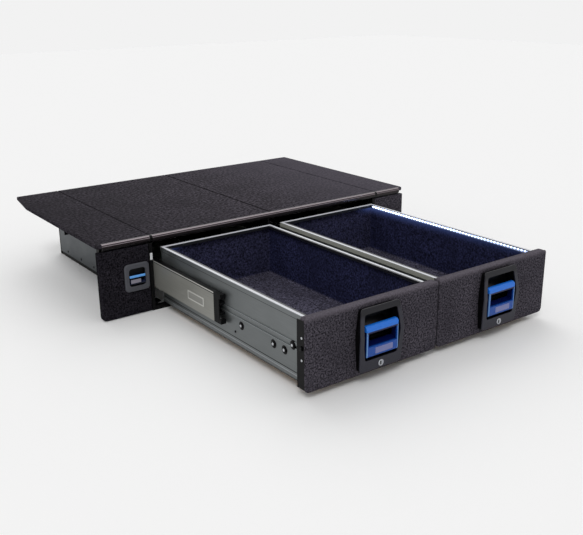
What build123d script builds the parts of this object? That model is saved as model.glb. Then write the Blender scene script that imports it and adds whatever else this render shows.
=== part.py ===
from build123d import *
import os

os.makedirs("parts", exist_ok=True)

# Double drawer system for a vehicle's load floor, drawn with both drawers fully open.
# X runs to the right, Y to the back and Z up, all in millimetres. The drawers open towards -Y.
# The origin lies on the floor, under the middle of the housing.

# Deck: four carpeted boards, a front trim and two wings that reach past the housing
deck_depth = 938.0
deck_height = 300.0
deck_thickness = 15.0
left_reach = 777.0
right_reach = 742.0
right_seam = 577.0
seam_gap = 1.6
nose_width = 23.5
nose_radius = 20.0
rear_cut_width = 30.0
rear_cut_depth = 205.0

# Trim: a hollow bullnose with a shelf under the boards' front edge
trim_height = 28.0
trim_depth = 14.0
trim_radius = 11.0
trim_wall = 2.0
trim_shelf = 6.0

# Drawer fronts
front_gap = 4.0
front_width = 551.0
front_height = 241.0
front_bottom = 25.0
front_thickness = 28.0
front_round = 5.0
open_reach = 953.0
closed_reach = 2.0

# Drawer box: side extrusions, seen in section as a distance in from the front's edge and a height
box_inset = 25.4
box_bottom = 36.0
box_height = 221.0
box_rear_gap = 20.0
skin = 2.0
band_proud = 2.0
top_band = 17.0
bottom_band = 16.0
band_slope = 6.0
rib_proud = 3.4
low_rib_bottom = 134.0
low_rib_height = 8.0
high_rib_bottom = 152.0
high_rib_height = 10.0
rail_width = 18.0
rail_thickness = 3.0
rail_lip = 8.0
floor_thickness = 9.0
liner_thickness = 4.0
liner_floor = 3.0

# Black brackets that join the drawer sides to the front
bracket_thickness = 2.5
bracket_front_inset = 5.0
bracket_tail = 13.0
bracket_lap = 18.0
bracket_top_gap = 8.0

# Runner: the middle member of each slide, a channel open towards the drawer
runner_gap = 0.6
runner_depth = 20.4
runner_bottom = 95.0
runner_height = 107.0
runner_wall = 2.5
runner_length = 840.0
runner_reach = 436.0
runner_closed_setback = 46.0

# Runner end cap with its two lugs, and the jaws that hold the drawer's ribs
cap_length = 44.0
cap_lug_length = 10.0
cap_wall = 6.0
cap_top_lug = 16.0
cap_bottom_lug = 17.0
jaw_height = 8.0
jaw_gap = 0.4

# Slide shoes: pads on the runner's rear end and a block on the drawer's rear end
pad_length = 40.0
pad_margin = 3.0
pad_thickness = 3.6
slide_gap = 0.4
shoe_length = 40.0
shoe_gap = 0.8

# Housing walls: extrusions with two ledges that guide the runners
wall_gap = 0.3
wall_width = 14.7
wall_skin = 1.7
wall_front_setback = 26.0
wall_rear_setback = 10.0
wall_bottom = 15.0
ledge_reach = 20.0
ledge_thickness = 3.0

# Black end caps of the outer walls, with a pocket for the latch bolt
end_cap_relief = 2.3
pocket_depth = 8.2
pocket_front = 6.0
pocket_length = 16.0
pocket_height = 20.0

# Front guides: a roller bracket under each runner and a guide block above it
guide_length = 49.0
guide_reach = 20.5
guide_tail_gap = 2.0
guide_block_height = 42.6
cheek = 2.7
bracket_bottom = 33.0
bracket_base = 4.0
cheek_gap = 2.5
roller_radius = 16.0
roller_width = 14.0
roller_gap = 0.3
axle_radius = 4.0
bore_clearance = 0.05

# Floor frame, and the rear panel with its top rail
sill_depth = 24.0
sill_setback = 2.0
tube_width = 28.0
tube_wall = 2.0
rear_rail_height = 23.0
rear_sheet_thickness = 1.5

# Floor plates inside the housing, with the holes for the mounting bolts
plate_length = 44.0
plate_width = 40.0
plate_thickness = 5.0
mount_hole_radius = 4.5
mount_rail_gap = 20.0
mount_end_inset = 89.0

# Wing supports: angle arms under the wing boards and jambs behind the wing fronts
arm_width = 20.0
arm_height = 18.0
arm_thickness = 3.0
arm_plate_height = 60.0
arm_end_inset = 7.0
arm_short_inset = 77.0
arm_places_share = (0.352, 0.68)
jamb_inset = 18.0
jamb_width = 24.0
jamb_thickness = 2.0
jamb_gap = 2.5

# Wing fronts
wing_front_thickness = 18.0
wing_front_gap = 1.5
wing_front_inset = 2.0
wing_front_bottom = 3.0
wing_front_height = 267.0
wing_front_radius = 18.0

# Hatch hinges
hinge_length = 50.0
hinge_radius = 5.0
hinge_pin_radius = 3.0
hinge_inset = 9.0
hinge_standoff = 5.5
knuckle_length = 24.0
knuckle_gap = 0.5
leaf_thickness = 1.5
leaf_gap = 0.5
hatch_leaf_width = 26.0
fixed_leaf_width = 20.0
fixed_leaf_thickness = 3.0
hinge_places_share = (0.22, 0.78)

# Drawer handle: a tall body on the front, under a wider frame that is folded at its middle
handle_bottom = 42.0
handle_height = 208.0
handle_foot_half = 76.0
handle_mid_half = 84.0
handle_top_half = 72.0
handle_corner = 10.0
handle_bow = 300.0
frame_bottom = 48.0
frame_height = 208.0
frame_foot_half = 86.0
frame_mid_half = 91.0
frame_top_half = 80.0
frame_corner = 12.0
frame_thickness = 6.0
frame_edge = 2.5
foot_proud = 27.0
mid_proud = 35.0
top_proud = 22.0
fold_height = 165.0

# Handle mouth, sunk into the front as a tub, with a catch bar across its floor
mouth_bottom = 84.0
mouth_height = 153.0
mouth_foot_half = 67.0
mouth_mid_half = 78.0
mouth_top_half = 67.0
mouth_corner = 9.0
tub_wall = 3.0
tub_depth = 18.0
tub_floor = 3.0
catch_half = 38.0
catch_bottom = 126.0
catch_height = 18.0
catch_depth = 12.0

# Drawer paddle
paddle_half = 64.0
paddle_back_gap = 7.0
paddle_depth = 28.0
paddle_bottom = 96.0
paddle_height = 104.5
paddle_cheek = 5.0
paddle_overhang = 2.0
pivot_rise = 5.0
pivot_radius = 3.0
pivot_reach = 10.0
pin_end_gap = 0.5

# Side view of a paddle, as shares of its depth (forward) and its height (up), and its grip bar
paddle_outline_shares = (
    (0.05, 0.00), (0.82, 0.00), (0.94, 0.02), (1.00, 0.10), (1.00, 0.883), (0.20, 0.883), (0.00, 0.10),
)
paddle_window_shares = (
    (1.30, 0.325), (0.94, 0.325), (0.06, 0.42), (-0.30, 0.42), (-0.30, 0.766), (1.30, 0.766),
)
bar_radius_share = 0.117
bar_edge_share = 0.25
pivot_forward_share = 0.4

# Key lock in the handle's foot
lock_height = 64.0
lock_radius = 11.0
lock_length = 21.0
lock_proud = 3.0
lock_edge = 1.0
key_slot_width = 2.0
key_slot_height = 10.0
key_slot_depth = 6.0

# Latch bolt in the outer end of each drawer front, with its rod
bolt_height = 12.0
bolt_thickness = 8.0
bolt_centre_height = 170.0
bolt_setback = 16.0
bolt_length = 40.0
bolt_reach = 6.0
bolt_stroke = 8.0
bolt_clearance = 0.5
bolt_rod_radius = 3.0
bolt_tail_gap = 10.0

# Hatch latch
latch_centre_inset = 56.5
latch_centre_height = 152.0
latch_half_width = 51.0
latch_half_height = 54.5
latch_corner = 16.0
latch_proud = 8.0
latch_edge = 5.0
latch_mouth_half = 34.0
latch_mouth_bottom = 118.0
latch_mouth_height = 70.0
latch_mouth_corner = 12.0
latch_tub_wall = 3.0
latch_tub_depth = 10.5
latch_tub_floor = 2.0
latch_paddle_half = 31.0
latch_paddle_bottom = 126.0
latch_paddle_height = 35.0
latch_paddle_depth = 16.0
latch_paddle_back = 6.0
latch_cheek = 3.0
latch_overhang = 1.0
latch_pivot_rise = 3.0
latch_pivot_radius = 1.5
latch_pivot_reach = 4.5
hatch_bolt_thickness = 3.0
hatch_bolt_height = 12.0
hatch_bolt_bottom = 145.0
hatch_bolt_setback = 11.8
hatch_bolt_length = 70.0
hatch_bolt_reach = 8.0
hatch_bolt_stroke = 9.0
hatch_bolt_clearance = 0.4

# Fasteners: heads that lie on what they hold
dome_radius = 10.0
dome_height = 4.0
dome_round = 2.4
dome_places = ((383.0, 115.0), (198.0, 115.0), (139.0, 115.0))
rib_dome_place = (91.0, 149.0)
dot_place = (422.0, 81.0)
screw_radius = 4.0
screw_height = 1.5
bracket_screw_heights = (203.0, 131.0)
wall_screw_radius = 5.0
wall_screw_height = 2.0
wall_screw_rise = 15.0
wall_screw_places_share = (0.12, 0.28, 0.43, 0.585, 0.738, 0.907)

# Strike plate on the front of each end cap
strike_inset = 2.0
strike_width = 10.0
strike_height = 27.0
strike_thickness = 1.5
strike_bottom = 206.0

# Light strip on the inner lip of the right rail
strip_thickness = 2.0
strip_height = 9.0
strip_end_gap = 12.0

# How far a cutting tool runs past what it cuts
overrun = 5.0

# Worked out from the sizes above
front_y = -deck_depth / 2
back_y = deck_depth / 2
board_bottom = deck_height - deck_thickness
half_front = front_width / 2
bay_centre = front_gap / 2 + half_front
bay_edge = front_gap / 2 + front_width
face_y = front_y - open_reach
panel_back = face_y + front_thickness
front_top = front_bottom + front_height
box_rear = front_y - box_rear_gap
box_top = box_bottom + box_height
web_in = box_inset + skin
band_out = box_inset - band_proud
rail_in = band_out + rail_width
rail_bottom = box_top - rail_thickness
base_top = box_bottom + rail_thickness
runner_front = front_y - runner_reach
runner_rear = runner_front + runner_length
runner_top = runner_bottom + runner_height
runner_far = runner_gap + runner_depth
runner_web = runner_gap + runner_wall
cap_front = runner_front - cap_length
guide_front = front_y + runner_closed_setback
guide_rear = guide_front + guide_length
wall_front = front_y + wall_front_setback
wall_rear = back_y - wall_rear_setback
wall_inner = bay_edge + wall_gap
wall_outer = wall_inner + wall_width
cap_inner = bay_edge + end_cap_relief
centre_web = front_gap / 2 - wall_gap
ledge_front = guide_rear + guide_tail_gap
low_ledge_top = runner_bottom - pad_thickness - slide_gap
high_ledge_bottom = runner_top + pad_thickness + slide_gap
trim_bottom = deck_height - trim_height
board_front = front_y + trim_depth
shelf_rear = board_front + trim_shelf
left_seam = bay_edge + end_cap_relief
sill_front = front_y + sill_setback
rail_front = sill_front + sill_depth
rail_rear = back_y - sill_depth
mount_x = wall_outer - tube_width - mount_rail_gap
mount_y = back_y - mount_end_inset
roller_y = (guide_front + guide_rear) / 2
roller_z = runner_bottom - roller_gap - roller_radius
wing_front_top = wing_front_bottom + wing_front_height
hatch_left = -left_reach + wing_front_inset
hatch_right = -wall_outer - wing_front_gap
wing_back = front_y + wing_front_thickness
hinge_x = hatch_left + hinge_inset
hinge_y = wing_back + hinge_standoff
bolt_y = face_y + bolt_setback
handle_top = handle_bottom + handle_height
frame_top = frame_bottom + frame_height
tub_back = face_y + tub_depth - tub_floor
lock_front = face_y - foot_proud - lock_proud
latch_x = hatch_right - latch_centre_inset

LEFT = -1
RIGHT = 1
BAYS = (("left", LEFT), ("right", RIGHT))


def block(x_ends, y_ends, z_ends):
    """A box between two limits on each axis, given in either order."""
    size = [abs(ends[1] - ends[0]) for ends in (x_ends, y_ends, z_ends)]
    middle = [(ends[1] + ends[0]) / 2 for ends in (x_ends, y_ends, z_ends)]
    return Pos(*middle) * Box(*size)


def prism(points, travel):
    """A flat outline of 3D points, carried straight along a vector."""
    face = Face(Wire.make_polygon([Vector(*point) for point in points], close=True))
    return extrude(face, amount=Vector(*travel).length, dir=travel)


def rod(start, travel, radius):
    """A cylinder from a point along a vector."""
    plane = Plane(origin=start, z_dir=travel)
    return plane * Cylinder(radius, Vector(*travel).length, align=(Align.CENTER, Align.CENTER, Align.MIN))


def save(name, *solids):
    """Write one node, made of one solid or of a group of separate ones."""
    pieces = [piece for solid in solids for piece in solid.solids()]
    shape = pieces[0] if len(pieces) == 1 else Compound(children=pieces)
    export_step(shape, f"parts/{name}.step")


def across(bay, hand, inset):
    """X of a point that lies a distance in from a drawer front's left (-1) or right (+1) edge."""
    return bay * bay_centre + hand * (half_front - inset)


def inward(bay, hand, near, far):
    """X limits between two distances in from a drawer front's edge."""
    return (across(bay, hand, near), across(bay, hand, far))


# Deck boards and trims

def wing_board(side, reach, seam, cut):
    """A wing board with a rounded front corner, and with a cut rear corner where wanted."""
    inner = side * (seam + seam_gap / 2)
    outer = side * reach
    body = block((inner, outer), (board_front, back_y), (board_bottom, deck_height))
    nose = block((side * (reach - nose_width), outer), (front_y, board_front), (board_bottom, deck_height))
    board = body + nose
    corner = board.edges().filter_by(Axis.Z).group_by(Axis.Y)[0].sort_by(Axis.X)
    board = fillet(corner[-1] if side > 0 else corner[0], nose_radius)
    if cut:
        points = [
            (outer - side * rear_cut_width, back_y, board_bottom),
            (outer, back_y - rear_cut_depth, board_bottom),
            (outer + side * overrun, back_y - rear_cut_depth, board_bottom),
            (outer + side * overrun, back_y + overrun, board_bottom),
            (outer - side * rear_cut_width, back_y + overrun, board_bottom),
        ]
        board = board - prism(points, (0, 0, deck_thickness))
    return board


def trim(x_start, x_end):
    """A length of hollow bullnose with its shelf."""
    body = block((x_start, x_end), (front_y, board_front), (trim_bottom, deck_height))
    body = fillet(body.edges().filter_by(Axis.X).group_by(Axis.Y)[0], trim_radius)
    hollow = block(
        (x_start, x_end),
        (front_y + trim_wall, board_front - trim_wall),
        (trim_bottom + trim_wall, deck_height - trim_wall),
    )
    hollow = fillet(hollow.edges().filter_by(Axis.X).group_by(Axis.Y)[0], trim_radius - trim_wall)
    shelf = block((x_start, x_end), (board_front, shelf_rear), (board_bottom - trim_wall, board_bottom))
    return body - hollow + shelf


save("deck_board_left", block(
    (-left_seam + seam_gap / 2, -seam_gap / 2), (board_front, back_y), (board_bottom, deck_height)))
save("deck_board_right", block(
    (seam_gap / 2, right_seam - seam_gap / 2), (board_front, back_y), (board_bottom, deck_height)))
save("wing_board_left", wing_board(LEFT, left_reach, left_seam, True))
save("wing_board_right", wing_board(RIGHT, right_reach, right_seam, False))
save("trim_centre", trim(-left_seam + seam_gap / 2, right_seam - seam_gap / 2))
save(
    "trim_wings",
    trim(-left_reach + nose_width, -left_seam - seam_gap / 2),
    trim(right_seam + seam_gap / 2, right_reach - nose_width),
)


# Housing walls, end caps and floor frame

def ledges(bay, hand, root):
    """The four ledges that a wall holds towards one drawer."""
    limits = (root, across(bay, hand, ledge_reach))
    low = block(limits, (ledge_front, wall_rear), (low_ledge_top - ledge_thickness, low_ledge_top))
    high = block(limits, (ledge_front, wall_rear), (high_ledge_bottom, high_ledge_bottom + ledge_thickness))
    base = block(limits, (wall_front, wall_rear), (wall_bottom, wall_bottom + ledge_thickness))
    top = block(limits, (wall_front, wall_rear), (board_bottom - ledge_thickness, board_bottom))
    return low + high + base + top


def side_wall(side):
    """A hollow wall, with a web behind each of its ledges."""
    inner = side * wall_inner
    outer = side * wall_outer
    wall = block((inner, outer), (wall_front, wall_rear), (wall_bottom, board_bottom))
    levels = (wall_bottom, low_ledge_top - ledge_thickness, high_ledge_bottom, board_bottom - ledge_thickness)
    for under, over in zip(levels[:-1], levels[1:]):
        wall = wall - block(
            (inner + side * wall_skin, outer - side * wall_skin),
            (wall_front, wall_rear),
            (under + ledge_thickness, over),
        )
    return wall + ledges(side, side, inner)


def centre_wall():
    """The wall between the drawers, with ledges on both sides."""
    wall = block((-centre_web, centre_web), (wall_front, wall_rear), (wall_bottom, board_bottom))
    return wall + ledges(LEFT, RIGHT, -centre_web) + ledges(RIGHT, LEFT, centre_web)


def end_cap(side):
    """The black front end of an outer wall, with its latch pockets."""
    cap = block((side * cap_inner, side * wall_outer), (front_y, wall_front), (wall_bottom, trim_bottom))
    cap = cap - block(
        (side * (cap_inner - overrun), side * (cap_inner + pocket_depth)),
        (front_y + pocket_front, front_y + pocket_front + pocket_length),
        (bolt_centre_height - pocket_height / 2, bolt_centre_height + pocket_height / 2),
    )
    if side == LEFT:
        cap = cap - hatch_bolt_space(-wall_outer - overrun, hatch_right + hatch_bolt_reach + bolt_clearance)
    return cap


def hatch_bolt_space(x_start, x_end):
    """Room for the hatch bolt, with its clearance all round."""
    return block(
        (x_start, x_end),
        (front_y + hatch_bolt_setback - hatch_bolt_clearance,
         front_y + hatch_bolt_setback + hatch_bolt_thickness + hatch_bolt_clearance),
        (hatch_bolt_bottom - hatch_bolt_clearance, hatch_bolt_bottom + hatch_bolt_height + hatch_bolt_clearance),
    )


def tube(x_ends, y_ends, along_x):
    """A flat box tube on the floor, open at its ends."""
    body = block(x_ends, y_ends, (0, wall_bottom))
    low, high = min(x_ends), max(x_ends)
    z_ends = (tube_wall, wall_bottom - tube_wall)
    if along_x:
        return body - block(x_ends, (y_ends[0] + tube_wall, y_ends[1] - tube_wall), z_ends)
    return body - block((low + tube_wall, high - tube_wall), y_ends, z_ends)


def floor_plate(side, hand):
    """A plate beside a side rail, with a hole for one mounting bolt."""
    root = side * (wall_outer - tube_width)
    middle = hand * mount_y
    plate = block(
        (root, root - side * plate_length),
        (middle - plate_width / 2, middle + plate_width / 2),
        (0, plate_thickness),
    )
    return plate - rod((side * mount_x, middle, 0), (0, 0, plate_thickness), mount_hole_radius)


def rear_panel():
    """A sheet that closes the housing's back, its side flanges, and the rail along its top."""
    rail_foot = board_bottom - rear_rail_height
    panel = block((-wall_outer, wall_outer), (wall_rear, back_y), (rail_foot, board_bottom))
    panel = panel + block(
        (-wall_outer, wall_outer), (back_y - rear_sheet_thickness, back_y), (wall_bottom, rail_foot))
    for side in (LEFT, RIGHT):
        panel = panel + block(
            (side * wall_outer, side * (wall_outer - rear_sheet_thickness)),
            (wall_rear, back_y),
            (wall_bottom, rail_foot),
        )
    return panel


save("side_wall_left", side_wall(LEFT))
save("side_wall_right", side_wall(RIGHT))
save("centre_wall", centre_wall())
save("wall_end_caps", end_cap(LEFT), end_cap(RIGHT))
save(
    "floor_sills",
    tube((-wall_outer, wall_outer), (sill_front, rail_front), True),
    tube((-wall_outer, wall_outer), (rail_rear, back_y), True),
)
save(
    "floor_rails",
    tube((-wall_outer, -wall_outer + tube_width), (rail_front, rail_rear), False),
    tube((-tube_width / 2, tube_width / 2), (rail_front, rail_rear), False),
    tube((wall_outer - tube_width, wall_outer), (rail_front, rail_rear), False),
)
save("floor_plates", *[floor_plate(side, hand) for side in (LEFT, RIGHT) for hand in (-1, 1)])
save("rear_panel", rear_panel())
save("strike_plates", *[
    block(
        (side * (wall_outer - strike_inset), side * (wall_outer - strike_inset - strike_width)),
        (front_y - strike_thickness, front_y),
        (strike_bottom, strike_bottom + strike_height),
    )
    for side in (LEFT, RIGHT)
])
save("wall_screws", *[
    fillet(
        rod((side * wall_outer, wall_front + share * (wall_rear - wall_front), wall_bottom + wall_screw_rise),
            (side * wall_screw_height, 0, 0), wall_screw_radius).edges().group_by(Axis.X)[-1 if side > 0 else 0],
        wall_screw_height / 2,
    )
    for side in (LEFT, RIGHT) for share in wall_screw_places_share
])


# Front guides and rollers

def roller_bracket(bay, hand):
    """A clevis with its axle, fixed to the wall under a runner."""
    near = inward(bay, hand, -wall_gap, -wall_gap + cheek)
    far = inward(bay, hand, guide_reach - cheek, guide_reach)
    y_ends = (guide_front, guide_rear)
    z_ends = (bracket_bottom, runner_bottom - cheek_gap)
    base = block(inward(bay, hand, -wall_gap, guide_reach), y_ends, (bracket_bottom, bracket_bottom + bracket_base))
    axle = rod((near[0], roller_y, roller_z), (far[1] - near[0], 0, 0), axle_radius)
    return base + block(near, y_ends, z_ends) + block(far, y_ends, z_ends) + axle


def guide_block(bay, hand):
    """A block fixed to the wall above a runner."""
    bottom = runner_top + slide_gap
    body = block(
        inward(bay, hand, -wall_gap, guide_reach), (guide_front, guide_rear), (bottom, bottom + guide_block_height))
    return chamfer(body.edges().filter_by(Axis.X).group_by(Axis.Z)[-1], cap_wall)


def roller(bay, hand):
    """A roller with a bore for its axle and rounded rims."""
    middle = (guide_reach - wall_gap) / 2
    start, end = inward(bay, hand, middle - roller_width / 2, middle + roller_width / 2)
    body = rod((start, roller_y, roller_z), (end - start, 0, 0), roller_radius)
    body = fillet(body.edges(), pad_margin / 2)
    return body - rod((start, roller_y, roller_z), (end - start, 0, 0), axle_radius + bore_clearance)


guides = []
for name, bay in BAYS:
    save(f"{name}_rollers", *[roller(bay, hand) for hand in (LEFT, RIGHT)])
    guides += [roller_bracket(bay, hand) for hand in (LEFT, RIGHT)]
    guides += [guide_block(bay, hand) for hand in (LEFT, RIGHT)]
save("front_guides", *guides)


# Wing supports and wing fronts

def wing_arm(side, share, end):
    """An angle arm under a wing board, with a plate against the wall."""
    middle = front_y + share * deck_depth
    root = side * wall_outer
    y_ends = (middle - arm_width / 2, middle + arm_width / 2)
    top = block((root, side * end), y_ends, (board_bottom - arm_thickness, board_bottom))
    leg = block(
        (root, side * end), (y_ends[0], y_ends[0] + arm_thickness), (board_bottom - arm_height, board_bottom))
    plate = block((root, root + side * arm_thickness), y_ends, (board_bottom - arm_plate_height, board_bottom))
    return top + leg + plate


def jamb(side, reach, gap):
    """An upright angle behind a wing front, from the floor to the board."""
    outer = side * (reach - jamb_inset)
    front = wing_back + gap
    face = block((outer, outer - side * jamb_width), (front, front + jamb_thickness), (0, board_bottom))
    leg = block((outer, outer - side * jamb_thickness), (front, front + jamb_width), (0, board_bottom))
    shelf = block(
        (outer + side * overrun, outer - side * (jamb_width + overrun)),
        (front_y, shelf_rear),
        (board_bottom - trim_wall, board_bottom),
    )
    return face + leg - shelf


def wing_front(x_outer, x_inner):
    """A carpeted wing front with a rounded foot."""
    panel = block((x_outer, x_inner), (front_y, wing_back), (wing_front_bottom, wing_front_top))
    foot = panel.edges().filter_by(Axis.Y).group_by(Axis.Z)[0].sort_by(Axis.X)
    panel = fillet(foot[0] if x_outer < 0 else foot[-1], wing_front_radius)
    return fillet(panel.faces().sort_by(Axis.Y)[0].edges(), jamb_thickness)


save(
    "wing_supports",
    wing_arm(LEFT, arm_places_share[0], left_reach - arm_end_inset),
    wing_arm(LEFT, arm_places_share[1], left_reach - arm_short_inset),
    wing_arm(RIGHT, arm_places_share[0], right_reach - arm_end_inset),
    wing_arm(RIGHT, arm_places_share[1], right_reach - arm_short_inset),
    jamb(LEFT, left_reach, jamb_gap),
    jamb(RIGHT, right_reach, 0),
)
save("wing_panel_right", wing_front(right_reach - wing_front_inset, wall_outer + wing_front_gap))


# Hatch hinges: fixed knuckles with the pin on the jamb, a moving knuckle with a leaf on the hatch

def hinge_middles():
    return [wing_front_bottom + share * wing_front_height for share in hinge_places_share]


def fixed_hinge(middle):
    low, high = middle - hinge_length / 2, middle + hinge_length / 2
    jamb_x = -left_reach + jamb_inset
    pin = rod((hinge_x, hinge_y, low), (0, 0, hinge_length), hinge_pin_radius)
    leaf = block(
        (jamb_x, jamb_x - fixed_leaf_thickness),
        (wing_back + jamb_gap, wing_back + jamb_gap + fixed_leaf_width),
        (low, high),
    )
    knuckles = rod((hinge_x, hinge_y, low), (0, 0, hinge_length), hinge_radius) - block(
        (hinge_x - hinge_radius, hinge_x + hinge_radius),
        (hinge_y - hinge_radius, hinge_y + hinge_radius),
        (middle - knuckle_length / 2, middle + knuckle_length / 2),
    )
    notch = rod(
        (hinge_x, hinge_y, middle - knuckle_length / 2), (0, 0, knuckle_length), hinge_radius + knuckle_gap)
    return leaf - notch + knuckles + pin


def moving_hinge(middle):
    half = knuckle_length / 2 - knuckle_gap
    start = hinge_x + hinge_radius + leaf_gap
    leaf = block(
        (start, start + hatch_leaf_width),
        (wing_back, wing_back + leaf_thickness),
        (middle - hinge_length / 2, middle + hinge_length / 2),
    )
    tongue = block((hinge_x, start), (wing_back, wing_back + leaf_thickness), (middle - half, middle + half))
    knuckle = rod((hinge_x, hinge_y, middle - half), (0, 0, half * 2), hinge_radius)
    bore = rod((hinge_x, hinge_y, middle - half), (0, 0, half * 2), hinge_pin_radius + bore_clearance)
    return leaf + tongue + knuckle - bore


save("hatch_hinges", *[fixed_hinge(middle) for middle in hinge_middles()])
save("hatch_leaves", *[moving_hinge(middle) for middle in hinge_middles()])


# Paddles and their bezels

def paddle(centre, half, back, depth, bottom, height, wall, overhang, pin):
    """A pull-out paddle: a side view carried across, with a window between two cheeks and a round grip bar."""
    rise, radius, reach = pin

    def outline(shares, start):
        return [(start, back - depth * forward, bottom + height * up) for forward, up in shares]

    body = prism(outline(paddle_outline_shares, centre - half), (half * 2, 0, 0))
    inner = half - wall
    body = body - prism(outline(paddle_window_shares, centre - inner), (inner * 2, 0, 0))
    bar_radius = height * bar_radius_share
    bar_half = half + overhang
    bar = rod(
        (centre - bar_half, back - depth + bar_radius, bottom + height - bar_radius), (bar_half * 2, 0, 0), bar_radius)
    bar = fillet(bar.edges(), bar_radius * bar_edge_share)
    pins = rod(
        (centre - half - reach, back - depth * pivot_forward_share, bottom + rise),
        ((half + reach) * 2, 0, 0),
        radius,
    )
    return body + bar + pins


def pin_bores(centre, half, back, depth, bottom, pin):
    """The bores for a paddle's pins, from one end gap to the other."""
    rise, radius, reach = pin
    total = half + reach + pin_end_gap
    start = (centre - total, back - depth * pivot_forward_share, bottom + rise)
    return rod(start, (total * 2, 0, 0), radius + bore_clearance)


def shield(centre, y_start, y_end, z_ends, halves, corner, grow):
    """A six-sided prism, widest at the fold, with bowed sides and each side moved out by a margin."""
    foot, mid, top = [half + grow for half in halves]
    low, high = z_ends[0] - grow, z_ends[1] + grow
    body = prism(
        [
            (centre - foot, y_start, low), (centre + foot, y_start, low),
            (centre + mid, y_start, fold_height), (centre + top, y_start, high),
            (centre - top, y_start, high), (centre - mid, y_start, fold_height),
        ],
        (0, y_end - y_start, 0),
    )
    ends = [edge for edge in body.edges().filter_by(Axis.Y) if abs(edge.center().Z - fold_height) > overrun]
    body = fillet(ends, corner)
    bends = [edge for edge in body.edges().filter_by(Axis.Y) if abs(edge.center().Z - fold_height) < overrun]
    return fillet(bends, handle_bow)


def mouth_space(bay, y_start, y_end, grow):
    """The handle's mouth as a solid, between two depths."""
    return shield(
        bay * bay_centre, y_start, y_end, (mouth_bottom, mouth_bottom + mouth_height),
        (mouth_foot_half, mouth_mid_half, mouth_top_half), mouth_corner, grow,
    )


def across_handle(bay, points):
    """A side view, given as (y, z) points, carried right across the handle."""
    reach = frame_mid_half + overrun
    return prism([(bay * bay_centre - reach, y, z) for y, z in points], (reach * 2, 0, 0))


def handle_frame(bay):
    """The frame: a plate of one thickness, folded forward at its middle."""
    fold = [
        (face_y - foot_proud, frame_bottom), (face_y - mid_proud, fold_height), (face_y - top_proud, frame_top),
    ]
    plate = shield(
        bay * bay_centre, face_y - mid_proud, face_y, (frame_bottom, frame_top),
        (frame_foot_half, frame_mid_half, frame_top_half), frame_corner, 0,
    )
    plate = plate & across_handle(bay, fold + [(y + frame_thickness, z) for y, z in reversed(fold)])
    front = plate.faces().sort_by(Axis.Y)[0:2]
    rim = [edge for face in front for edge in face.edges() if abs(edge.center().Z - fold_height) > overrun]
    return fillet(rim, frame_edge)


def handle_bezel(bay):
    """The drawer handle's body and frame with the tub, catch bar, pin bores and lock bore."""
    centre = bay * bay_centre
    lap = frame_thickness / 2
    body = shield(
        centre, face_y - mid_proud, face_y, (handle_bottom, handle_top),
        (handle_foot_half, handle_mid_half, handle_top_half), handle_corner, 0,
    )
    body = body & across_handle(bay, [
        (face_y, handle_bottom), (face_y - foot_proud + lap, frame_bottom), (face_y - mid_proud + lap, fold_height),
        (face_y - top_proud + lap, handle_top), (face_y, handle_top),
    ])
    cut_front = face_y - mid_proud - overrun
    body = body + handle_frame(bay) + mouth_space(bay, face_y, face_y + tub_depth, tub_wall)
    body = body - mouth_space(bay, cut_front, tub_back, 0)
    body = body + block(
        (centre - catch_half, centre + catch_half), (tub_back - catch_depth, tub_back),
        (catch_bottom, catch_bottom + catch_height),
    )
    body = body - pin_bores(
        centre, paddle_half, face_y - paddle_back_gap, paddle_depth, paddle_bottom,
        (pivot_rise, pivot_radius, pivot_reach),
    )
    return body - rod(
        (centre, cut_front, lock_height), (0, lock_front + lock_length + pin_end_gap - cut_front, 0),
        lock_radius + bore_clearance,
    )


def lock_plug(bay):
    """A round lock plug with a key slot."""
    plug = rod((bay * bay_centre, lock_front, lock_height), (0, lock_length, 0), lock_radius)
    plug = fillet(plug.edges().group_by(Axis.Y)[0], lock_edge)
    slot = block(
        (bay * bay_centre - key_slot_width / 2, bay * bay_centre + key_slot_width / 2),
        (lock_front, lock_front + key_slot_depth),
        (lock_height - key_slot_height / 2, lock_height + key_slot_height / 2),
    )
    return plug - slot


def latch_mouth(y_start, y_end, grow):
    """The hatch latch's mouth as a solid, between two depths."""
    body = block(
        (latch_x - latch_mouth_half - grow, latch_x + latch_mouth_half + grow),
        (y_start, y_end),
        (latch_mouth_bottom - grow, latch_mouth_bottom + latch_mouth_height + grow),
    )
    return fillet(body.edges().filter_by(Axis.Y), latch_mouth_corner)


def latch_bezel():
    """The hatch latch's square bezel with its tub and pin bores."""
    front = front_y - latch_proud
    body = block(
        (latch_x - latch_half_width, latch_x + latch_half_width),
        (front, front_y),
        (latch_centre_height - latch_half_height, latch_centre_height + latch_half_height),
    )
    body = fillet(body.edges().filter_by(Axis.Y), latch_corner)
    body = fillet(body.faces().sort_by(Axis.Y)[0].edges(), latch_edge)
    body = body + latch_mouth(front_y, front_y + latch_tub_depth, latch_tub_wall)
    body = body - latch_mouth(front - overrun, front_y + latch_tub_depth - latch_tub_floor, 0)
    return body - pin_bores(
        latch_x, latch_paddle_half, front_y + latch_paddle_back, latch_paddle_depth, latch_paddle_bottom,
        (latch_pivot_rise, latch_pivot_radius, latch_pivot_reach),
    )


def hatch_panel():
    """The hatch door with its latch recess and the room for its bolt."""
    panel = wing_front(hatch_left, hatch_right)
    panel = panel - latch_mouth(front_y - overrun, front_y + latch_tub_depth, latch_tub_wall)
    tail = hatch_right + hatch_bolt_reach - hatch_bolt_length - hatch_bolt_stroke - bolt_clearance
    return panel - hatch_bolt_space(tail, hatch_right + overrun)


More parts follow.
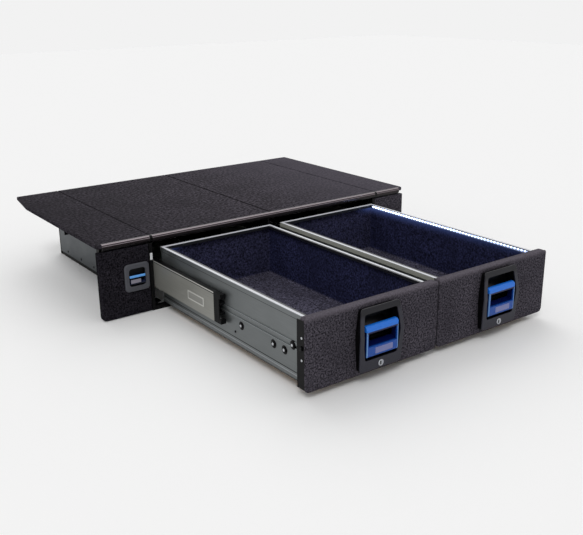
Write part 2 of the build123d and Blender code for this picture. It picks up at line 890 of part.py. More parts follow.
save("hatch_panel", hatch_panel())
save("hatch_bezel", latch_bezel())
save("hatch_paddle", paddle(
    latch_x, latch_paddle_half, front_y + latch_paddle_back, latch_paddle_depth, latch_paddle_bottom,
    latch_paddle_height, latch_cheek, latch_overhang,
    (latch_pivot_rise, latch_pivot_radius, latch_pivot_reach),
))
save("hatch_bolt", block(
    (hatch_right + hatch_bolt_reach - hatch_bolt_length, hatch_right + hatch_bolt_reach),
    (front_y + hatch_bolt_setback, front_y + hatch_bolt_setback + hatch_bolt_thickness),
    (hatch_bolt_bottom, hatch_bolt_bottom + hatch_bolt_height),
))


# Runners

def runner(bay, hand):
    """A channel that is open towards the drawer."""
    body = block(
        inward(bay, hand, runner_gap, runner_far), (runner_front, runner_rear), (runner_bottom, runner_top))
    return body - block(
        inward(bay, hand, runner_web, runner_far + overrun),
        (runner_front, runner_rear),
        (runner_bottom + runner_wall, runner_top - runner_wall),
    )


def runner_cap(bay, hand):
    """The black front end of a runner: a channel with two lugs and two jaws."""
    limits = inward(bay, hand, runner_gap, runner_far)
    cap = block(limits, (cap_front, runner_front), (runner_bottom, runner_top))
    cap = cap - block(
        inward(bay, hand, runner_web, runner_far + overrun),
        (cap_front + cap_lug_length, runner_front),
        (runner_bottom + cap_wall, runner_top - cap_wall),
    )
    cap = cap - block(
        inward(bay, hand, runner_gap - overrun, runner_far + overrun),
        (cap_front - overrun, cap_front + cap_lug_length),
        (runner_bottom + cap_bottom_lug, runner_top - cap_top_lug),
    )
    jaw_x = inward(bay, hand, runner_gap, box_inset - jaw_gap)
    jaw_y = (cap_front + cap_lug_length, runner_front)
    low = low_rib_bottom - jaw_gap
    high = high_rib_bottom + high_rib_height + jaw_gap
    return cap + block(jaw_x, jaw_y, (low - jaw_height, low)) + block(jaw_x, jaw_y, (high, high + jaw_height))


def runner_pads(bay, hand):
    """The two pads on the rear end of a runner."""
    limits = inward(bay, hand, runner_gap + pad_margin, runner_far - pad_margin)
    y_ends = (runner_rear - pad_length, runner_rear)
    return [
        block(limits, y_ends, (runner_bottom - pad_thickness, runner_bottom)),
        block(limits, y_ends, (runner_top, runner_top + pad_thickness)),
    ]


for name, bay in BAYS:
    save(f"{name}_runner_outer", runner(bay, bay))
    save(f"{name}_runner_inner", runner(bay, -bay))
    shoes = []
    for hand in (LEFT, RIGHT):
        shoes.append(runner_cap(bay, hand))
        shoes += runner_pads(bay, hand)
    save(f"{name}_runner_shoes", *shoes)


# Drawers

def drawer_side(bay, hand):
    """A drawer side extrusion: rail on top, two ribs outside and a foot flange inside."""
    low_slope = box_bottom + bottom_band
    section = [
        (band_out, box_bottom), (rail_in, box_bottom), (rail_in, base_top), (web_in, base_top),
        (web_in, rail_bottom), (rail_in - skin, rail_bottom), (rail_in - skin, rail_bottom - rail_lip),
        (rail_in, rail_bottom - rail_lip), (rail_in, box_top), (band_out, box_top),
        (band_out, box_top - top_band), (box_inset, box_top - top_band),
        (box_inset, high_rib_bottom + high_rib_height), (box_inset - rib_proud, high_rib_bottom + high_rib_height),
        (box_inset - rib_proud, high_rib_bottom), (box_inset, high_rib_bottom),
        (box_inset, low_rib_bottom + low_rib_height), (box_inset - rib_proud, low_rib_bottom + low_rib_height),
        (box_inset - rib_proud, low_rib_bottom), (box_inset, low_rib_bottom),
        (box_inset, low_slope + band_slope), (band_out, low_slope),
    ]
    points = [(across(bay, hand, inset), panel_back, height) for inset, height in section]
    return prism(points, (0, box_rear - panel_back, 0))


def rail_lips(bay):
    """The space that the lips of both side rails take."""
    z_ends = (rail_bottom - rail_lip, rail_bottom)
    return [
        block(inward(bay, hand, rail_in - skin, rail_in), (panel_back, box_rear), z_ends)
        for hand in (LEFT, RIGHT)
    ]


def drawer_rear(bay):
    """The rear panel, with a rail and a foot flange that turn forward."""
    inner = (across(bay, LEFT, rail_in), across(bay, RIGHT, rail_in))
    plate = block(
        (across(bay, LEFT, web_in), across(bay, RIGHT, web_in)), (box_rear - skin, box_rear), (base_top, rail_bottom))
    top = block(inner, (box_rear - rail_width, box_rear), (rail_bottom, box_top))
    lip = block(
        inner, (box_rear - rail_width, box_rear - rail_width + skin), (rail_bottom - rail_lip, rail_bottom))
    foot = block(inner, (box_rear - rail_width, box_rear), (box_bottom, base_top))
    return plate - rail_lips(bay) + top + lip + foot


def drawer_floor(bay):
    return block(
        (across(bay, LEFT, web_in), across(bay, RIGHT, web_in)),
        (panel_back, box_rear - skin),
        (base_top, base_top + floor_thickness),
    )


def drawer_liner(bay):
    """A carpet tray that covers the floor and the four walls."""
    floor_top = base_top + floor_thickness
    tray = block(
        (across(bay, LEFT, web_in), across(bay, RIGHT, web_in)),
        (panel_back, box_rear - skin),
        (floor_top, rail_bottom),
    )
    return tray - rail_lips(bay) - block(
        (across(bay, LEFT, web_in + liner_thickness), across(bay, RIGHT, web_in + liner_thickness)),
        (panel_back + liner_thickness, box_rear - skin - liner_thickness),
        (floor_top + liner_floor, rail_bottom + overrun),
    )


def side_bracket(bay, hand, side):
    """A black bracket: one leg on the front's end, a web behind the front, one leg on the side."""
    z_ends = (box_bottom, front_top - bracket_top_gap)
    leg = block(
        inward(bay, hand, 0, bracket_thickness),
        (face_y + bracket_front_inset, panel_back + bracket_tail),
        z_ends,
    )
    web = block(
        inward(bay, hand, 0, band_out), (panel_back, panel_back + bracket_thickness), z_ends)
    lap = block(
        inward(bay, hand, band_out - bracket_thickness, band_out), (panel_back, panel_back + bracket_lap), z_ends)
    bracket = leg + web + lap - side
    return bracket - bolt_space(bay, -overrun, bolt_length) if hand == bay else bracket


def bolt_space(bay, near, far):
    """Room for a drawer's latch bolt, with its clearance all round."""
    return block(
        inward(bay, bay, near, far),
        (bolt_y - bolt_thickness / 2 - bolt_clearance, bolt_y + bolt_thickness / 2 + bolt_clearance),
        (bolt_centre_height - bolt_height / 2 - bolt_clearance,
         bolt_centre_height + bolt_height / 2 + bolt_clearance),
    )


def rod_end(bay, gap):
    """X of the latch rod's inner end, a gap away from the handle's tub."""
    return bay * (bay_centre + mouth_mid_half + tub_wall + gap)


def latch_bolt(bay):
    """A latch bolt and the rod that runs to the handle."""
    head = block(
        inward(bay, bay, -bolt_reach, bolt_length - bolt_reach),
        (bolt_y - bolt_thickness / 2, bolt_y + bolt_thickness / 2),
        (bolt_centre_height - bolt_height / 2, bolt_centre_height + bolt_height / 2),
    )
    start = across(bay, bay, bolt_length - bolt_reach)
    link = rod(
        (start, bolt_y, bolt_centre_height), (rod_end(bay, bolt_tail_gap) - start, 0, 0), bolt_rod_radius)
    return head + link


def drawer_front(bay):
    """The carpeted front, with its handle recess, bracket seats and latch bore."""
    panel = block(
        (across(bay, LEFT, 0), across(bay, RIGHT, 0)), (face_y, panel_back), (front_bottom, front_top))
    panel = fillet(panel.faces().sort_by(Axis.Y)[0].edges(), front_round)
    for hand in (LEFT, RIGHT):
        panel = panel - block(
            inward(bay, hand, -overrun, bracket_thickness),
            (face_y + bracket_front_inset, panel_back + overrun),
            (box_bottom, front_top - bracket_top_gap),
        )
    panel = panel - mouth_space(bay, face_y - overrun, face_y + tub_depth, tub_wall)
    panel = panel - bolt_space(bay, -overrun, bolt_length - bolt_reach + bolt_stroke + bolt_clearance)
    start = across(bay, bay, bolt_length)
    bore = rod(
        (start, bolt_y, bolt_centre_height), (rod_end(bay, 0) - start, 0, 0), bolt_rod_radius + bolt_clearance)
    return panel - bore


def rear_shoe(bay, hand, side):
    """The block on a drawer's rear end that slides in the runner."""
    shoe = block(
        inward(bay, hand, runner_web + slide_gap, box_inset),
        (box_rear - shoe_length, box_rear),
        (runner_bottom + runner_wall + shoe_gap, runner_top - runner_wall - shoe_gap),
    )
    return shoe - side


def dome(bay, hand, place, seat):
    """A dome head on the outside of a drawer side."""
    outward = hand * dome_height
    head = rod((across(bay, hand, seat), face_y + place[0], place[1]), (outward, 0, 0), dome_radius)
    return fillet(head.edges().group_by(Axis.X)[-1 if hand > 0 else 0], dome_round)


def drawer_bolts(bay):
    """Dome heads and a small screw on both sides, and the screws of the brackets."""
    heads = []
    for hand in (LEFT, RIGHT):
        heads += [dome(bay, hand, place, box_inset) for place in dome_places]
        heads.append(dome(bay, hand, rib_dome_place, box_inset - rib_proud))
        heads.append(rod(
            (across(bay, hand, box_inset), face_y + dot_place[0], dot_place[1]),
            (hand * screw_height, 0, 0), screw_radius))
        heads += [
            rod((across(bay, hand, 0), bolt_y, height), (hand * screw_height, 0, 0), screw_radius)
            for height in bracket_screw_heights
        ]
    return heads


for name, bay in BAYS:
    sides = {hand: drawer_side(bay, hand) for hand in (LEFT, RIGHT)}
    save(f"{name}_drawer_side_outer", sides[bay])
    save(f"{name}_drawer_side_inner", sides[-bay])
    save(f"{name}_drawer_rear", drawer_rear(bay))
    save(f"{name}_drawer_floor", drawer_floor(bay))
    save(f"{name}_drawer_liner", drawer_liner(bay))
    save(f"{name}_drawer_front", drawer_front(bay))
    save(f"{name}_drawer_brackets", *[side_bracket(bay, hand, sides[hand]) for hand in (LEFT, RIGHT)])
    save(f"{name}_drawer_shoes", *[rear_shoe(bay, hand, sides[hand]) for hand in (LEFT, RIGHT)])
    save(f"{name}_drawer_bolts", *drawer_bolts(bay))
    save(f"{name}_bezel", handle_bezel(bay))
    save(f"{name}_paddle", paddle(
        bay * bay_centre, paddle_half, face_y - paddle_back_gap, paddle_depth, paddle_bottom, paddle_height,
        paddle_cheek, paddle_overhang, (pivot_rise, pivot_radius, pivot_reach),
    ))
    save(f"{name}_lock", lock_plug(bay))
    save(f"{name}_latch_bolt", latch_bolt(bay))

# Light strip, against the inner lip of the right drawer's right rail
save("light_strip", block(
    inward(RIGHT, RIGHT, rail_in, rail_in + strip_thickness),
    (panel_back + strip_end_gap, box_rear - rail_width - strip_end_gap),
    (rail_bottom - rail_lip, rail_bottom - rail_lip + strip_height),
))
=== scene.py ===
# %% [markdown]
# # A double drawer system for a vehicle's load floor
# The real object is a low aluminium housing under a carpeted deck. Two drawers run out of it on
# long runners, and each has a black and blue pull handle. The exact pieces come from the packed
# frame. This script gives every piece its finish, makes the carpeted pieces again with soft edges,
# and sets up a small studio. The frame is loaded first.

import math

import bpy
import numpy as np
from mathutils import Matrix, Vector

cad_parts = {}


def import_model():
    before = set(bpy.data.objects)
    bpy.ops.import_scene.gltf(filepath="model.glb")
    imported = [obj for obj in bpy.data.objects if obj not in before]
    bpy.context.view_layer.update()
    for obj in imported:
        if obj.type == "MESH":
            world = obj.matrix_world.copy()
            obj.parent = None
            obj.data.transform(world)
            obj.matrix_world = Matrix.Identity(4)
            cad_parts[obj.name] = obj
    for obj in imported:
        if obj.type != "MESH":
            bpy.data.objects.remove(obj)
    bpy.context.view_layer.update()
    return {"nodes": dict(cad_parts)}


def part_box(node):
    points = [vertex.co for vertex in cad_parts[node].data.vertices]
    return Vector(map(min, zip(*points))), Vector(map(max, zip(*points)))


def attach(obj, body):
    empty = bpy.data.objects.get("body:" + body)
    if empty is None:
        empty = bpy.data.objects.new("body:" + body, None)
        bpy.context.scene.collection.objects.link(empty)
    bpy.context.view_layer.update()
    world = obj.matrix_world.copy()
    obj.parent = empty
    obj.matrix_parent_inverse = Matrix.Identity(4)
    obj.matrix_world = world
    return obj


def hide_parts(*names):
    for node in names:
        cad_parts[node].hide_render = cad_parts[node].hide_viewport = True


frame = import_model()
nodes = frame["nodes"]
mm = 0.001
SIDES = ("left", "right")

# %% [markdown]
# ## Places on the frame
# New pieces and painted marks have to meet the exact pieces, so their places are worked out from
# the boxes of those pieces.

# %% Places worked out from the boxes
def limits(name):
    """Least x, y, z and greatest x, y, z of one exact piece, in metres."""
    low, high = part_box(name)
    return [*low, *high]


def joint(left, right):
    """The middle of the gap between two neighbours, over x in millimetres."""
    return (limits(left)[3] + limits(right)[0]) / 2 / mm


LEFT_JOINT = joint("wing_board_left", "deck_board_left")
MIDDLE_JOINT = joint("deck_board_left", "deck_board_right")
RIGHT_JOINT = joint("deck_board_right", "wing_board_right")
front_low, FACE_Y, _, front_high, _, _ = [limit / mm for limit in limits("right_drawer_front")]
BAY_MIDDLE = (front_low + front_high) / 2  # mm over x, the right drawer's middle, and minus the left one's
HALF_FRONT = (front_high - front_low) / 2  # mm
RAIL_TOP = limits("left_drawer_side_outer")[5] / mm
RUNNER_TOP = limits("left_runner_outer")[5] / mm
STRIP_Y = (limits("light_strip")[1] / mm, limits("light_strip")[4] / mm)  # its front and rear end
print("joints at", LEFT_JOINT, MIDDLE_JOINT, RIGHT_JOINT, "and drawers at", BAY_MIDDLE)

# %% [markdown]
# ## Colours
# A colour picked from a screen is sRGB, and Blender's shaders work in linear light. One function
# turns a hex value into linear numbers, so that every colour below can be written as it looks.

# %% Turn a hex colour to linear
def linear(hex_colour):
    """Each channel c in 0..1 becomes c/12.92 if it is dark, else ((c + 0.055) / 1.055) ** 2.4."""
    channels = np.array([int(hex_colour[i:i + 2], 16) for i in (1, 3, 5)]) / 255
    dark = channels / 12.92
    light = ((channels + 0.055) / 1.055) ** 2.4
    return tuple(np.where(channels <= 0.04045, dark, light)) + (1.0,)


print("mid grey in linear light", linear("#808080")[0])

# %% [markdown]
# ## Building shaders
# A material is a small network. Typing every node and link by hand is long, so one helper adds a
# node, sets its properties and fills its sockets: a plain value is typed in, a socket is linked,
# and a node is linked by its first output in use.

# %% One helper for every shader node
def fill(node, sockets):
    for name, value in sockets.items():
        if isinstance(value, bpy.types.Node):
            value = next(output for output in value.outputs if output.enabled)
        if isinstance(value, bpy.types.NodeSocket):
            node.id_data.links.new(value, node.inputs[name])
        else:
            node.inputs[name].default_value = value
    return node


def add(tree, kind, sockets=None, **settings):
    """A kind is a shader node's type without the ShaderNode at its start."""
    made = tree.nodes.new(f"ShaderNode{kind}")
    for name, value in settings.items():
        setattr(made, name, value)
    return fill(made, sockets or {})


def new_material(name, **surface):
    """An empty tree with a Principled shader, its output and Object coordinates."""
    made = bpy.data.materials.new(name)
    made.use_nodes = True
    tree = made.node_tree
    tree.nodes.clear()
    shader = add(tree, "BsdfPrincipled", surface)
    add(tree, "OutputMaterial", {"Surface": shader})
    place = add(tree, "TexCoord").outputs["Object"]
    return made, tree, shader, place


def per_metre(size_in_mm):
    """A texture's scale is how many of its features fit in one metre."""
    return 1000 / size_in_mm


print("shader helpers are ready")

# %% [markdown]
# ## Masks from a place on the piece
# Some pieces change colour over their width or height. A mask from the Object coordinates picks
# the colour then. It belongs to the place on the piece, seen from any side and in any pose.

# %% Coordinates and arithmetic
def shader_of(made):
    return next(node for node in made.node_tree.nodes if node.type == "BSDF_PRINCIPLED")


def coordinates(made):
    """The x, y and z of a material's Object coordinates."""
    place = next(node for node in made.node_tree.nodes if node.type == "TEX_COORD").outputs["Object"]
    return add(made.node_tree, "SeparateXYZ", {"Vector": place}).outputs


def calculate(operation, *values):
    """Arithmetic on nodes, sockets or plain numbers. More than two are taken from left to right."""
    tree = next(value.id_data for value in values if not isinstance(value, float))
    made = add(tree, "Math", dict(enumerate(values[:2])), operation=operation)
    return calculate(operation, made, *values[2:]) if values[2:] else made


def distance(value, place):
    """How far a coordinate is from a place in millimetres, on either side of it."""
    return calculate("ABSOLUTE", calculate("SUBTRACT", value, place * mm))


print("coordinates are ready")

# %% [markdown]
# A mask is 0 or 1 nearly everywhere, with a soft edge a millimetre or so wide, because a hard edge
# would show as a jagged line. Where felt, painted light or painted shade covers a metal, it also
# stops being metallic.

# %% Ramps and edges
def ramp(value, low, high, to_low=0.0, to_high=1.0):
    """A straight ramp between two places in millimetres, flat outside them."""
    return add(value.id_data, "MapRange", {
        "Value": value, "From Min": low * mm, "From Max": high * mm, "To Min": to_low, "To Max": to_high})


def past(value, place, soft=1.0):
    """0 before a place in millimetres and 1 past it."""
    return ramp(value, place - soft / 2, place + soft / 2)


def before(value, place, soft=1.0):
    """1 before a place in millimetres and 0 past it."""
    return ramp(value, place - soft / 2, place + soft / 2, 1.0, 0.0)


def repaint(made, mask, hex_colour):
    """Mixes another colour over the base colour where the mask is 1."""
    shader = shader_of(made)
    base = shader.inputs["Base Color"]
    under = base.links[0].from_socket if base.links else tuple(base.default_value)
    over = add(made.node_tree, "Mix", {
        "Factor": mask, "A": under, "B": linear(hex_colour)}, data_type="RGBA")
    fill(shader, {"Base Color": over})
    return made


def cover_metal(made, mask):
    """Metallic becomes its own value times (1 - mask)."""
    shader = shader_of(made)
    open_metal = calculate("SUBTRACT", 1.0, mask)
    fill(shader, {"Metallic": calculate("MULTIPLY", open_metal, shader.inputs["Metallic"].default_value)})


print("masks are ready")

# %% [markdown]
# ## Carpet
# Load floor carpet is needle punched polyester: short stiff fibres in a charcoal mix, with paler
# fibres on top. From a step away it is a speckle, dry and without shine. Three noises do it: tufts
# for the speckle and the bump, single fibres for the grain inside a tuft, and a wide one for the
# patches that the rolls leave. The hatch gets a darker copy of the carpet, as painted shade.

# %% Needle punched carpet
TUFT = 6.0  # mm, real tufts are about 2 mm, drawn coarse enough to show
FIBRE = 1.6  # mm
PATCH = 120.0  # mm
PILE = 2.0  # mm, the depth of the gaps between tufts


def needle_punched_carpet(name, base, speck, lift, tuft=TUFT, shine=0.06):
    """The pile is 0.65 tufts + 0.35 fibres. The base turns to the speck's colour where the pile is
    high, and to the lift's colour in the patches."""
    made, tree, shader, place = new_material(name, **{"Roughness": 0.95, "Specular IOR Level": shine})
    tufts = add(tree, "TexNoise", {
        "Vector": place, "Scale": per_metre(tuft), "Detail": 2.0, "Roughness": 0.6})
    fibres = add(tree, "TexNoise", {
        "Vector": place, "Scale": per_metre(FIBRE), "Detail": 2.0, "Roughness": 0.7})
    pile = add(tree, "Mix", {"Factor": 0.35, "A": tufts, "B": fibres})
    specks = add(tree, "MapRange", {"Value": pile, "From Min": 0.40, "From Max": 0.66})
    patch = add(tree, "TexNoise", {"Vector": place, "Scale": per_metre(PATCH), "Detail": 2.0})
    worn = add(tree, "MapRange", {
        "Value": patch, "From Min": 0.3, "From Max": 0.8, "To Min": 0.1, "To Max": 0.6})
    tint = add(tree, "Mix", {"Factor": specks, "A": linear(base), "B": linear(speck)}, data_type="RGBA")
    patched = add(tree, "Mix", {"Factor": worn, "A": tint, "B": linear(lift)}, data_type="RGBA")
    bump = add(tree, "Bump", {"Height": pile, "Strength": 0.8, "Distance": PILE * mm})
    fill(shader, {"Base Color": patched, "Normal": bump})
    return made


deck_carpet = needle_punched_carpet("charcoal_carpet", "#08070a", "#625c66", "#242226", tuft=12.0)
front_carpet = needle_punched_carpet("charcoal_front_carpet", "#08070a", "#6f6a75", "#28262c")
# A darker copy for the hatch, whose darkness is painted shade
shaded_hatch_carpet = needle_punched_carpet(
    "charcoal_carpet_painted_shade", "#050507", "#3e3b43", "#121114", shine=0.0)
print("carpets", [made.name for made in (deck_carpet, front_carpet, shaded_hatch_carpet)])

# %% [markdown]
# The deck's carpet has painted shade on the left and painted light on the right. Painted shadow fills
# the gaps where its boards meet, and a painted highlight lies along the fronts' upper edge.

# %% Painted light and shade on the carpet
PAINTED_SHADE_STRETCH = (-770, 0)  # mm over x, painted shade, darkest at the first end
PAINTED_LIGHT_STRETCH = (100, 740)  # mm over x, painted light, palest at the last end
SEAM_SHADOWS = ((MIDDLE_JOINT, 1.0), (LEFT_JOINT, 0.5), (RIGHT_JOINT, 0.6))  # place, and how dark the painted shadow in its gap is
SEAM_SHADOW_EDGE = (2.4, 4.4)  # mm from the joint, where the painted shadow begins to fade and where it ends
HIGHLIGHT_HEIGHTS = (250, 264)  # mm, the fronts' upper edge, where the painted highlight lies
HIGHLIGHT_FRONT = -1295.0  # mm over y, only the drawers' fronts lie before it

x, y, z = coordinates(deck_carpet)
# Painted shade to the left, painted light to the right, and painted shadow in the seams
repaint(deck_carpet, ramp(x, *PAINTED_SHADE_STRETCH, 0.5, 0.0), "#17151a")
repaint(deck_carpet, ramp(x, *PAINTED_LIGHT_STRETCH, 0.0, 0.5), "#5a5660")
for seam, depth in SEAM_SHADOWS:
    repaint(deck_carpet, ramp(distance(x, seam), *SEAM_SHADOW_EDGE, depth, 0.0), "#030303")

x, y, z = coordinates(front_carpet)
# A painted highlight along the fronts' rounded upper edge
upper_edge = ramp(z, *HIGHLIGHT_HEIGHTS, 0.0, 0.5)
top_edge_highlight = calculate("MULTIPLY", upper_edge, before(y, HIGHLIGHT_FRONT, 10.0))
repaint(front_carpet, top_edge_highlight, "#6d6770")
print("marks on", deck_carpet.name, front_carpet.name)

# %% [markdown]
# ## Aluminium
# The walls, drawer sides and runners are extruded, then anodised. The die leaves faint lines along
# the length, which here is the Y axis, and anodising makes the metal satin. A noise that is
# stretched along Y gives the lines, both as a slight change of roughness and as a shallow bump.

# %% Anodised extrusions
DIE_LINE = 1.6  # mm between the marks of the die, across the extrusion
DIE_DEPTH = 0.15  # mm
STRETCH = 0.02  # the marks run fifty times longer along Y
CLOUD = 140.0  # mm, patches where the acid bath bit more or less
ROUGHNESS_SPREAD = (-0.06, 0.08)  # how far the roughness wanders from its mean


def anodised_aluminium(name, colour, roughness, lines=(1.0, STRETCH, 1.0), metallic=0.85):
    """The roughness follows marks times clouds, and the colour is multiplied by 0.9 to 1.08, which
    follows the marks alone. The lines are the stretch along x, y and z."""
    made, tree, shader, place = new_material(name, **{"Metallic": metallic, "Roughness": roughness})
    run = add(tree, "Mapping", {"Vector": place, "Scale": lines})
    marks = add(tree, "TexNoise", {"Vector": run, "Scale": per_metre(DIE_LINE), "Detail": 2.0})
    cloud = add(tree, "TexNoise", {"Vector": place, "Scale": per_metre(CLOUD), "Detail": 2.0})
    mottle = calculate("MULTIPLY", marks, cloud)
    smooth, rough = ROUGHNESS_SPREAD
    spread = add(tree, "MapRange", {
        "Value": mottle, "From Min": 0.15, "From Max": 0.4,
        "To Min": roughness + smooth, "To Max": roughness + rough})
    tone = add(tree, "MapRange", {
        "Value": marks, "From Min": 0.3, "From Max": 0.7, "To Min": 0.9, "To Max": 1.08})
    shade = add(tree, "Mix", {
        "Factor": 1.0, "A": linear(colour), "B": tone}, data_type="RGBA", blend_type="MULTIPLY")
    bump = add(tree, "Bump", {"Height": marks, "Strength": 0.25, "Distance": DIE_DEPTH * mm})
    fill(shader, {"Base Color": shade, "Roughness": spread, "Normal": bump})
    return made


drawer_metal = anodised_aluminium("anodised_drawer_side", "#787c7d", 0.42)
wall_metal = anodised_aluminium("anodised_wall", "#575b5e", 0.45)
runner_metal = anodised_aluminium("anodised_runner", "#93938d", 0.40, metallic=0.45)
trim_metal = anodised_aluminium("bronze_trim", "#2c2527", 0.30, lines=(STRETCH, 1.0, 1.0), metallic=0.6)
label_metal = anodised_aluminium("brushed_label_plate", "#c9c9c4", 0.35, metallic=0.3)
field_metal = anodised_aluminium("etched_label_field", "#8f8f8a", 0.5, metallic=0.3)
print("extrusions", drawer_metal.name, wall_metal.name, runner_metal.name, trim_metal.name)

# %% [markdown]
# Painted shade darkens the corners under the bands and ribs of a drawer's side, and painted
# highlights brighten their upper edges. The black domes sit on thin black washers, which lie flush
# in the side so that the runner's lips can pass. Stripes and discs draw these marks.

# %% Stripes and discs
RIB_SHADE = ((238.5, 1.6), (150.8, 1.2), (132.8, 1.2), (60.0, 1.8), (37.0, 2.0))  # mm, height, half width
RIB_HIGHLIGHTS = ((255.8, 1.0), (161.3, 0.8), (141.3, 0.8), (51.5, 1.4))
WASHERS = ((383, 115), (198, 115), (139, 115), (91, 149))  # mm, how far behind the face, and height
WASHER_RADIUS = 14.9  # mm


def stripes(value, places):
    """1 where the value is within half a width of one of the places, with soft ends, else 0."""
    total = 0.0
    for place, half in places:
        near = ramp(distance(value, place), half * 0.6, half * 1.2, 1.0, 0.0)
        total = calculate("ADD", total, near)
    return calculate("MINIMUM", total, 1.0)


def discs(across, up, places, radius):
    """1 where the square root of a^2 + u^2 is less than the radius, else 0. Here a and u are the
    distances from the middle of the nearest disc, across and up."""
    total = 0.0
    for place, height in places:
        a = distance(across, place)
        u = distance(up, height)
        squares = [calculate("MULTIPLY", a, a), calculate("MULTIPLY", u, u)]
        away = calculate("SQRT", calculate("ADD", *squares))
        total = calculate("MAXIMUM", total, before(away, radius, 0.8))
    return total


x, y, z = coordinates(drawer_metal)
# Painted shade in the corners under the ribs, painted highlights on their upper edges
repaint(drawer_metal, stripes(z, RIB_SHADE), "#26282a")
repaint(drawer_metal, stripes(z, RIB_HIGHLIGHTS), "#9da2a4")
washers = discs(y, z, [(FACE_Y + back, up) for back, up in WASHERS], WASHER_RADIUS)
print("stripes and discs on", drawer_metal.name)

# %% [markdown]
# The drawer sides end in a rail. The outer half of its top face gets a painted highlight, pale and
# not metallic, and the felt's glued edge covers the inner half. On the right drawer's inner side the
# band under the rail gets painted light, pale and not metallic too.

# %% Rails of the drawers
RAIL_SPLIT = 241.8  # mm from a drawer's middle, where the felt's edge begins
REAR_SPLIT = -504.0  # mm over y, the same on the rear rail
RAIL_FACE = 0.6  # mm below the rail's top, where its top face begins
FELT_FOOT = 243.5  # mm, the lower edge of the glued felt
LIT_BAND_FOOT = 239.5  # mm, the foot of the band with painted light
LIT_BAND_ACROSS = (20.5, 31.5)  # mm over x, the band with painted light

height_over = past(z, RAIL_TOP - RAIL_FACE, 0.6)
aside = distance(calculate("ABSOLUTE", x), BAY_MIDDLE)
outer = calculate("MAXIMUM", past(aside, RAIL_SPLIT), past(y, REAR_SPLIT))
rail_highlight = calculate("MULTIPLY", height_over, outer)
covered = calculate("MULTIPLY", past(z, FELT_FOOT), calculate("SUBTRACT", 1.0, outer))
lit_band = calculate("MULTIPLY", past(z, LIT_BAND_FOOT), past(x, LIT_BAND_ACROSS[0]), before(x, LIT_BAND_ACROSS[1]))
# Painted light on the band, black washers, a painted highlight on the rail, and the felt's edge
for mask, colour in ((lit_band, "#a3a49c"), (washers, "#08080a"), (rail_highlight, "#d3d5dc"), (covered, "#0b0c14")):
    repaint(drawer_metal, mask, colour)
cover_metal(drawer_metal, calculate("MAXIMUM", covered, rail_highlight, lit_band))
print("rails on", drawer_metal.name)

# %% [markdown]
# Painted shadow blackens the runner's top, over a lip with a painted highlight and a groove with
# painted shade, and the walls are black inside, where no light reaches them. Painted shadow darkens
# the gaps where the centre trim meets the wings' trims, whose round upper edge glints and whose
# lower part lies in painted shade.

# %% Runner, walls and trims
RUNNER_LIP_HIGHLIGHT = (2.4, 2.2)  # mm, how far below the runner's top, and half its width
RUNNER_GROOVE_SHADE = (6.4, 1.8)  # mm, the same
TOP_SHADOW = 0.6  # mm below the top, where the painted shadow begins
WALL_INSIDE = 563.0  # mm from the middle
TRIM_GLINTS = ((297.8, 1.5), (292.0, 0.8))  # mm, height and half width
TRIM_SHADE = 283.0  # mm
GAP_SHADOW_HALF = 5.75  # mm, half the width of the painted shadow in each gap

x, y, z = coordinates(runner_metal)
# A painted shade line in the groove and a painted highlight on the lip
for (below, half), colour in ((RUNNER_GROOVE_SHADE, "#1a1a1b"), (RUNNER_LIP_HIGHLIGHT, "#d4d4ce")):
    repaint(runner_metal, stripes(z, ((RUNNER_TOP - below, half),)), colour)
# Painted shadow on the runner's top
repaint(runner_metal, past(z, RUNNER_TOP - TOP_SHADOW, 0.4), "#070708")

x, y, z = coordinates(wall_metal)
inside = before(calculate("ABSOLUTE", x), WALL_INSIDE, 2.0)
repaint(wall_metal, inside, "#08080a")
cover_metal(wall_metal, inside)

x, y, z = coordinates(trim_metal)
repaint(trim_metal, stripes(z, TRIM_GLINTS), "#9a8f95")
repaint(trim_metal, before(z, TRIM_SHADE, 6.0), "#141214")
# Painted shadow in the gaps where the centre trim meets the wings' trims
for shadow_gap in (LEFT_JOINT, RIGHT_JOINT):
    repaint(trim_metal, before(distance(x, shadow_gap), GAP_SHADOW_HALF, 0.5), "#050506")
print("masks on", runner_metal.name, wall_metal.name, trim_metal.name)

# %% [markdown]
# ## Black steel, plated steel and chrome
# Brackets, rails and supports are powder coated: black, with a fine orange peel. Screws and bolts
# are zinc plated, bright or black. The strike plates are plated and then passivated, which makes
# them pale and much less like a mirror.

# %% Powder coat and plating
ORANGE_PEEL = 1.2  # mm, the dimple size of a fine powder coat
PEEL_DEPTH = 0.1  # mm
BLOOM = 6.0  # mm, the cloudy spots in a zinc plating


def powder_coat(name, colour):
    made, tree, shader, place = new_material(name, **{
        "Base Color": linear(colour), "Roughness": 0.48, "Specular IOR Level": 0.12})
    peel = add(tree, "TexNoise", {"Vector": place, "Scale": per_metre(ORANGE_PEEL), "Detail": 1.0})
    gloss = add(tree, "MapRange", {"Value": peel, "To Min": 0.4, "To Max": 0.58})
    bump = add(tree, "Bump", {"Height": peel, "Strength": 0.3, "Distance": PEEL_DEPTH * mm})
    fill(shader, {"Roughness": gloss, "Normal": bump})
    return made


def plated_steel(name, colour, roughness, metallic=1.0):
    made, tree, shader, place = new_material(name, **{
        "Base Color": linear(colour), "Metallic": metallic, "Roughness": roughness})
    bloom = add(tree, "TexNoise", {"Vector": place, "Scale": per_metre(BLOOM), "Detail": 3.0})
    spread = add(tree, "MapRange", {"Value": bloom, "To Min": roughness * 0.7, "To Max": roughness * 1.4})
    fill(shader, {"Roughness": spread})
    return made


